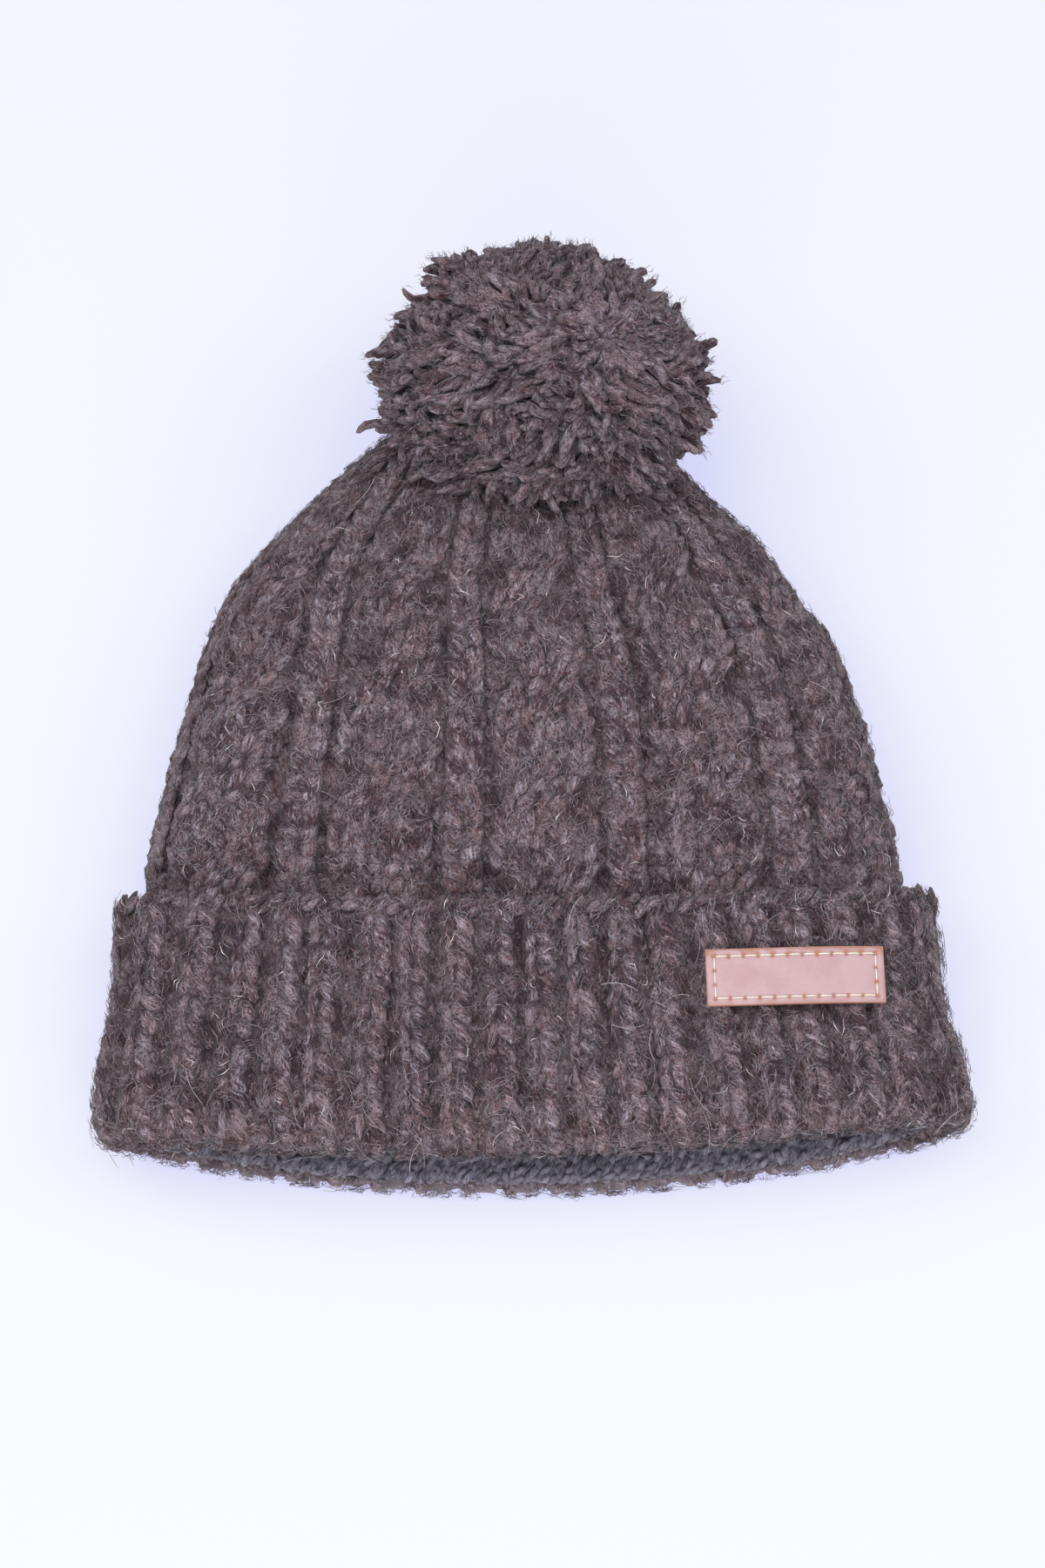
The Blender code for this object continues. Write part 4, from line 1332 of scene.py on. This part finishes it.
def sow_ball_fibres(sowing, settings, count, lift, sizes):
    """Fibres along the outer halves of the pompom's yarn ends, lifted by up to an angle."""
    rng = sowing.rng
    roots, tips = strand_ends(settings, np.random.default_rng(settings.seed))
    chosen = rng.integers(0, len(tips), count)
    share = 1.02 - 0.5 * rng.uniform(0.0, 1.0, count)[:, None] ** 1.5
    axis = unit(tips[chosen] - roots[chosen])
    side = unit(np.cross(axis, rng.normal(0.0, 1.0, axis.shape)))
    places = roots[chosen] * (1.0 - share) + tips[chosen] * share + side * np.where(share > 0.9, 0.7, 1.4)
    y_axes, normal = turned(axis, side, rng.uniform(-0.25, lift, count)[:, None])
    sowing.add(places, np.cross(y_axes, normal), y_axes, normal, 0.0, fibre_sizes(rng, count, *sizes),
               rng.uniform(0.2, 0.98, count))


class HAT_OT_fuzz(bpy.types.Operator):
    """Scatter stray wool over the hat: felted tufts, curled hairs and a few long ones on top"""
    bl_idname = "hat.fuzz"
    bl_label = "Fuzz"

    def execute(self, context):
        knit, colours, ball = context.scene.hat_knit, context.scene.hat_wool, context.scene.hat_pompom
        rng = np.random.default_rng(knit.seed + 3)
        rusty = fibre_material("rust_fibres", colours, 0.34)
        sheet = crown_sheet()
        crown = sheet, lambda along, turn: crown_relief(sheet.station(along), turn)
        cuff = Sheet(cuff_path()), cuff_relief
        felt = {"Length": 4.6 * MM, "Width": 0.22 * MM, "Thickness": 0.20 * MM, "Arch": 0.6 * MM,
                "Fullness": 6.0, "Bend": 0.6 * MM, "Sides": 3, "Rings": 3,
                "Material": fibre_material("stray_fibres", colours, 0.13)}
        curl = {**felt, "Width": 0.17 * MM, "Thickness": 0.15 * MM, "Arch": 1.0 * MM, "Bend": 1.5 * MM,
                "Curl": 0.15 * MM, "Rings": 5}
        long = {**curl, "Length": 11.0 * MM, "Width": 0.15 * MM, "Arch": 1.2 * MM, "Bend": 2.4 * MM,
                "Curl": 1.35 * MM, "Rings": 13}
        plans = []
        for kind, values, total, ball_share, tuft, lift, sizes in (
                ("felt", felt, colours.felt, 0.46, 5, 0.45, (0.6, 1.5)),
                ("curls", curl, colours.curls, 0.30, 2, 0.8, (0.5, 1.4))):
            tufts = rng, tuft, lift, sizes
            on_crown = sow_sheet_fibres(*tufts, (crown, (0.02, 0.97), total * 0.44))
            on_cuff = sow_sheet_fibres(*tufts, (cuff, (0.05, 1.0), total * 0.27),
                                       (cuff, (0.96, 1.0), total * 0.03))
            on_rim = sow_sheet_fibres(*tufts, (cuff, (0.02, 0.17), total * 0.07))
            on_rim.tones = [0.22 + 0.78 * tones for tones in on_rim.tones]
            on_ball = Sowing(rng)
            sow_ball_fibres(on_ball, ball, int(total * ball_share), 0.9, sizes)
            short = {**values, "Length": 2.7 * MM, "Bend": 0.8 * MM, "Arch": 0.4 * MM, "Curl": 0.0}
            plans += [("crown_" + kind, on_crown, values, "crown_knit"),
                      ("cuff_" + kind, on_cuff, values, "cuff_rib"),
                      ("rim_" + kind, on_rim, {**values, "Material": rusty}, "cuff_rib"),
                      ("pompom_" + kind, on_ball, short, "pompom_yarn")]
        sowing = sow_sheet_fibres(rng, 1, 0.3, (0.4, 1.4), (crown, (0.02, 0.97), 330),
                                  (cuff, (0.08, 1.0), 200), (cuff, (0.10, 0.42), 240))
        sow_ball_fibres(sowing, ball, 110, 0.6, (0.4, 0.9))
        sowing.tones = [0.45 + 0.55 * tones for tones in sowing.tones]
        plans.append(("long_curls", sowing, long, "crown_knit"))
        for name, sowing, values, slot in plans:
            piece = grow(name, sowing, values)
            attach(piece, "root")
        return {"FINISHED"}


class HAT_OT_stage(bpy.types.Operator):
    """Set the floor, the light and the camera"""
    bl_idname = "hat.stage"
    bl_label = "Stage"

    def execute(self, context):
        scene, stage = context.scene, context.scene.hat_stage
        mesh = bpy.data.meshes.new("floor")
        mesh.from_pydata([(x * FLOOR_HALF, y * FLOOR_HALF, 0.0)
                          for x, y in ((-1, -1), (1, -1), (1, 1), (-1, 1))], [], [(0, 1, 2, 3)])
        floor = bpy.data.objects.new("floor", mesh)
        scene.collection.objects.link(floor)
        material = bpy.data.materials.new("floor_paper")
        material.use_nodes = True
        shader = material.node_tree.nodes["Principled BSDF"]
        for socket, value in (("Base Color", (*stage.floor, 1.0)), ("Roughness", 0.9),
                              ("Specular IOR Level", 0.0), ("Emission Color", (*stage.glow, 1.0)),
                              ("Emission Strength", 1.0)):
            shader.inputs[socket].default_value = value
        mesh.materials.append(material)
        world = bpy.data.worlds.new("surround")
        world.use_nodes = True
        background = world.node_tree.nodes["Background"]
        background.inputs["Color"].default_value = SKY
        background.inputs["Strength"].default_value = stage.sky
        scene.world = world
        for name, share, place, size in (("softbox_left", 0.98, (-0.65, 0.15, 1.30), (0.8, 1.5)),
                                         ("softbox_right", 0.80, (0.65, 0.10, 1.30), (0.8, 1.5)),
                                         ("fill", 0.42, (0.0, -0.85, 0.60), (1.2, 0.4))):
            light = bpy.data.lights.new(name, "AREA")
            light.shape = "RECTANGLE"
            light.size, light.size_y = size
            light.energy = share * stage.softbox
            light.color = LAMP
            lamp = bpy.data.objects.new(name, light)
            lamp.location = place
            lamp.rotation_euler = (-lamp.location).to_track_quat("-Z", "Y").to_euler()
            scene.collection.objects.link(lamp)
        lens = bpy.data.cameras.new("camera")
        lens.lens, lens.sensor_width = stage.lens, SENSOR_WIDTH
        lens.clip_start, lens.clip_end = 0.05, 20.0
        camera = bpy.data.objects.new("camera", lens)
        back = Vector((0.0, -math.cos(stage.elevation), math.sin(stage.elevation)))
        camera.location = Vector(stage.target) + back * stage.distance
        camera.rotation_euler = (-back).to_track_quat("-Z", "Y").to_euler()
        scene.collection.objects.link(camera)
        scene.camera = camera
        scene.view_settings.view_transform = "Standard"
        return {"FINISHED"}


class HAT_PT_parts(bpy.types.Panel):
    """Lists the makers of the hat's parts"""
    bl_idname = "HAT_PT_parts"
    bl_label = "Bobble hat"
    bl_space_type = "VIEW_3D"
    bl_region_type = "UI"
    bl_category = "Hat"

    def draw(self, context):
        for operator in OPERATORS:
            self.layout.operator(operator.bl_idname)


SETTINGS = {"hat_knit": KnitSettings, "hat_wool": WoolSettings, "hat_pompom": PompomSettings,
            "hat_label": LabelSettings, "hat_stage": StageSettings}
OPERATORS = (HAT_OT_crown, HAT_OT_cuff, HAT_OT_lining, HAT_OT_pompom, HAT_OT_label, HAT_OT_fuzz,
             HAT_OT_stage)


def register():
    for name, settings in SETTINGS.items():
        bpy.utils.register_class(settings)
        setattr(bpy.types.Scene, name, PointerProperty(type=settings))
    for operator in OPERATORS:
        bpy.utils.register_class(operator)
    bpy.utils.register_class(HAT_PT_parts)


def unregister():
    bpy.utils.unregister_class(HAT_PT_parts)
    for operator in reversed(OPERATORS):
        bpy.utils.unregister_class(operator)
    for name, settings in reversed(SETTINGS.items()):
        delattr(bpy.types.Scene, name)
        bpy.utils.unregister_class(settings)


def main():
    register()
    bpy.ops.hat.stage()
    bpy.ops.hat.crown()
    bpy.ops.hat.cuff()
    bpy.ops.hat.lining()
    bpy.ops.hat.pompom()
    bpy.ops.hat.label()
    bpy.ops.hat.fuzz()


if __name__ == "__main__":
    main()
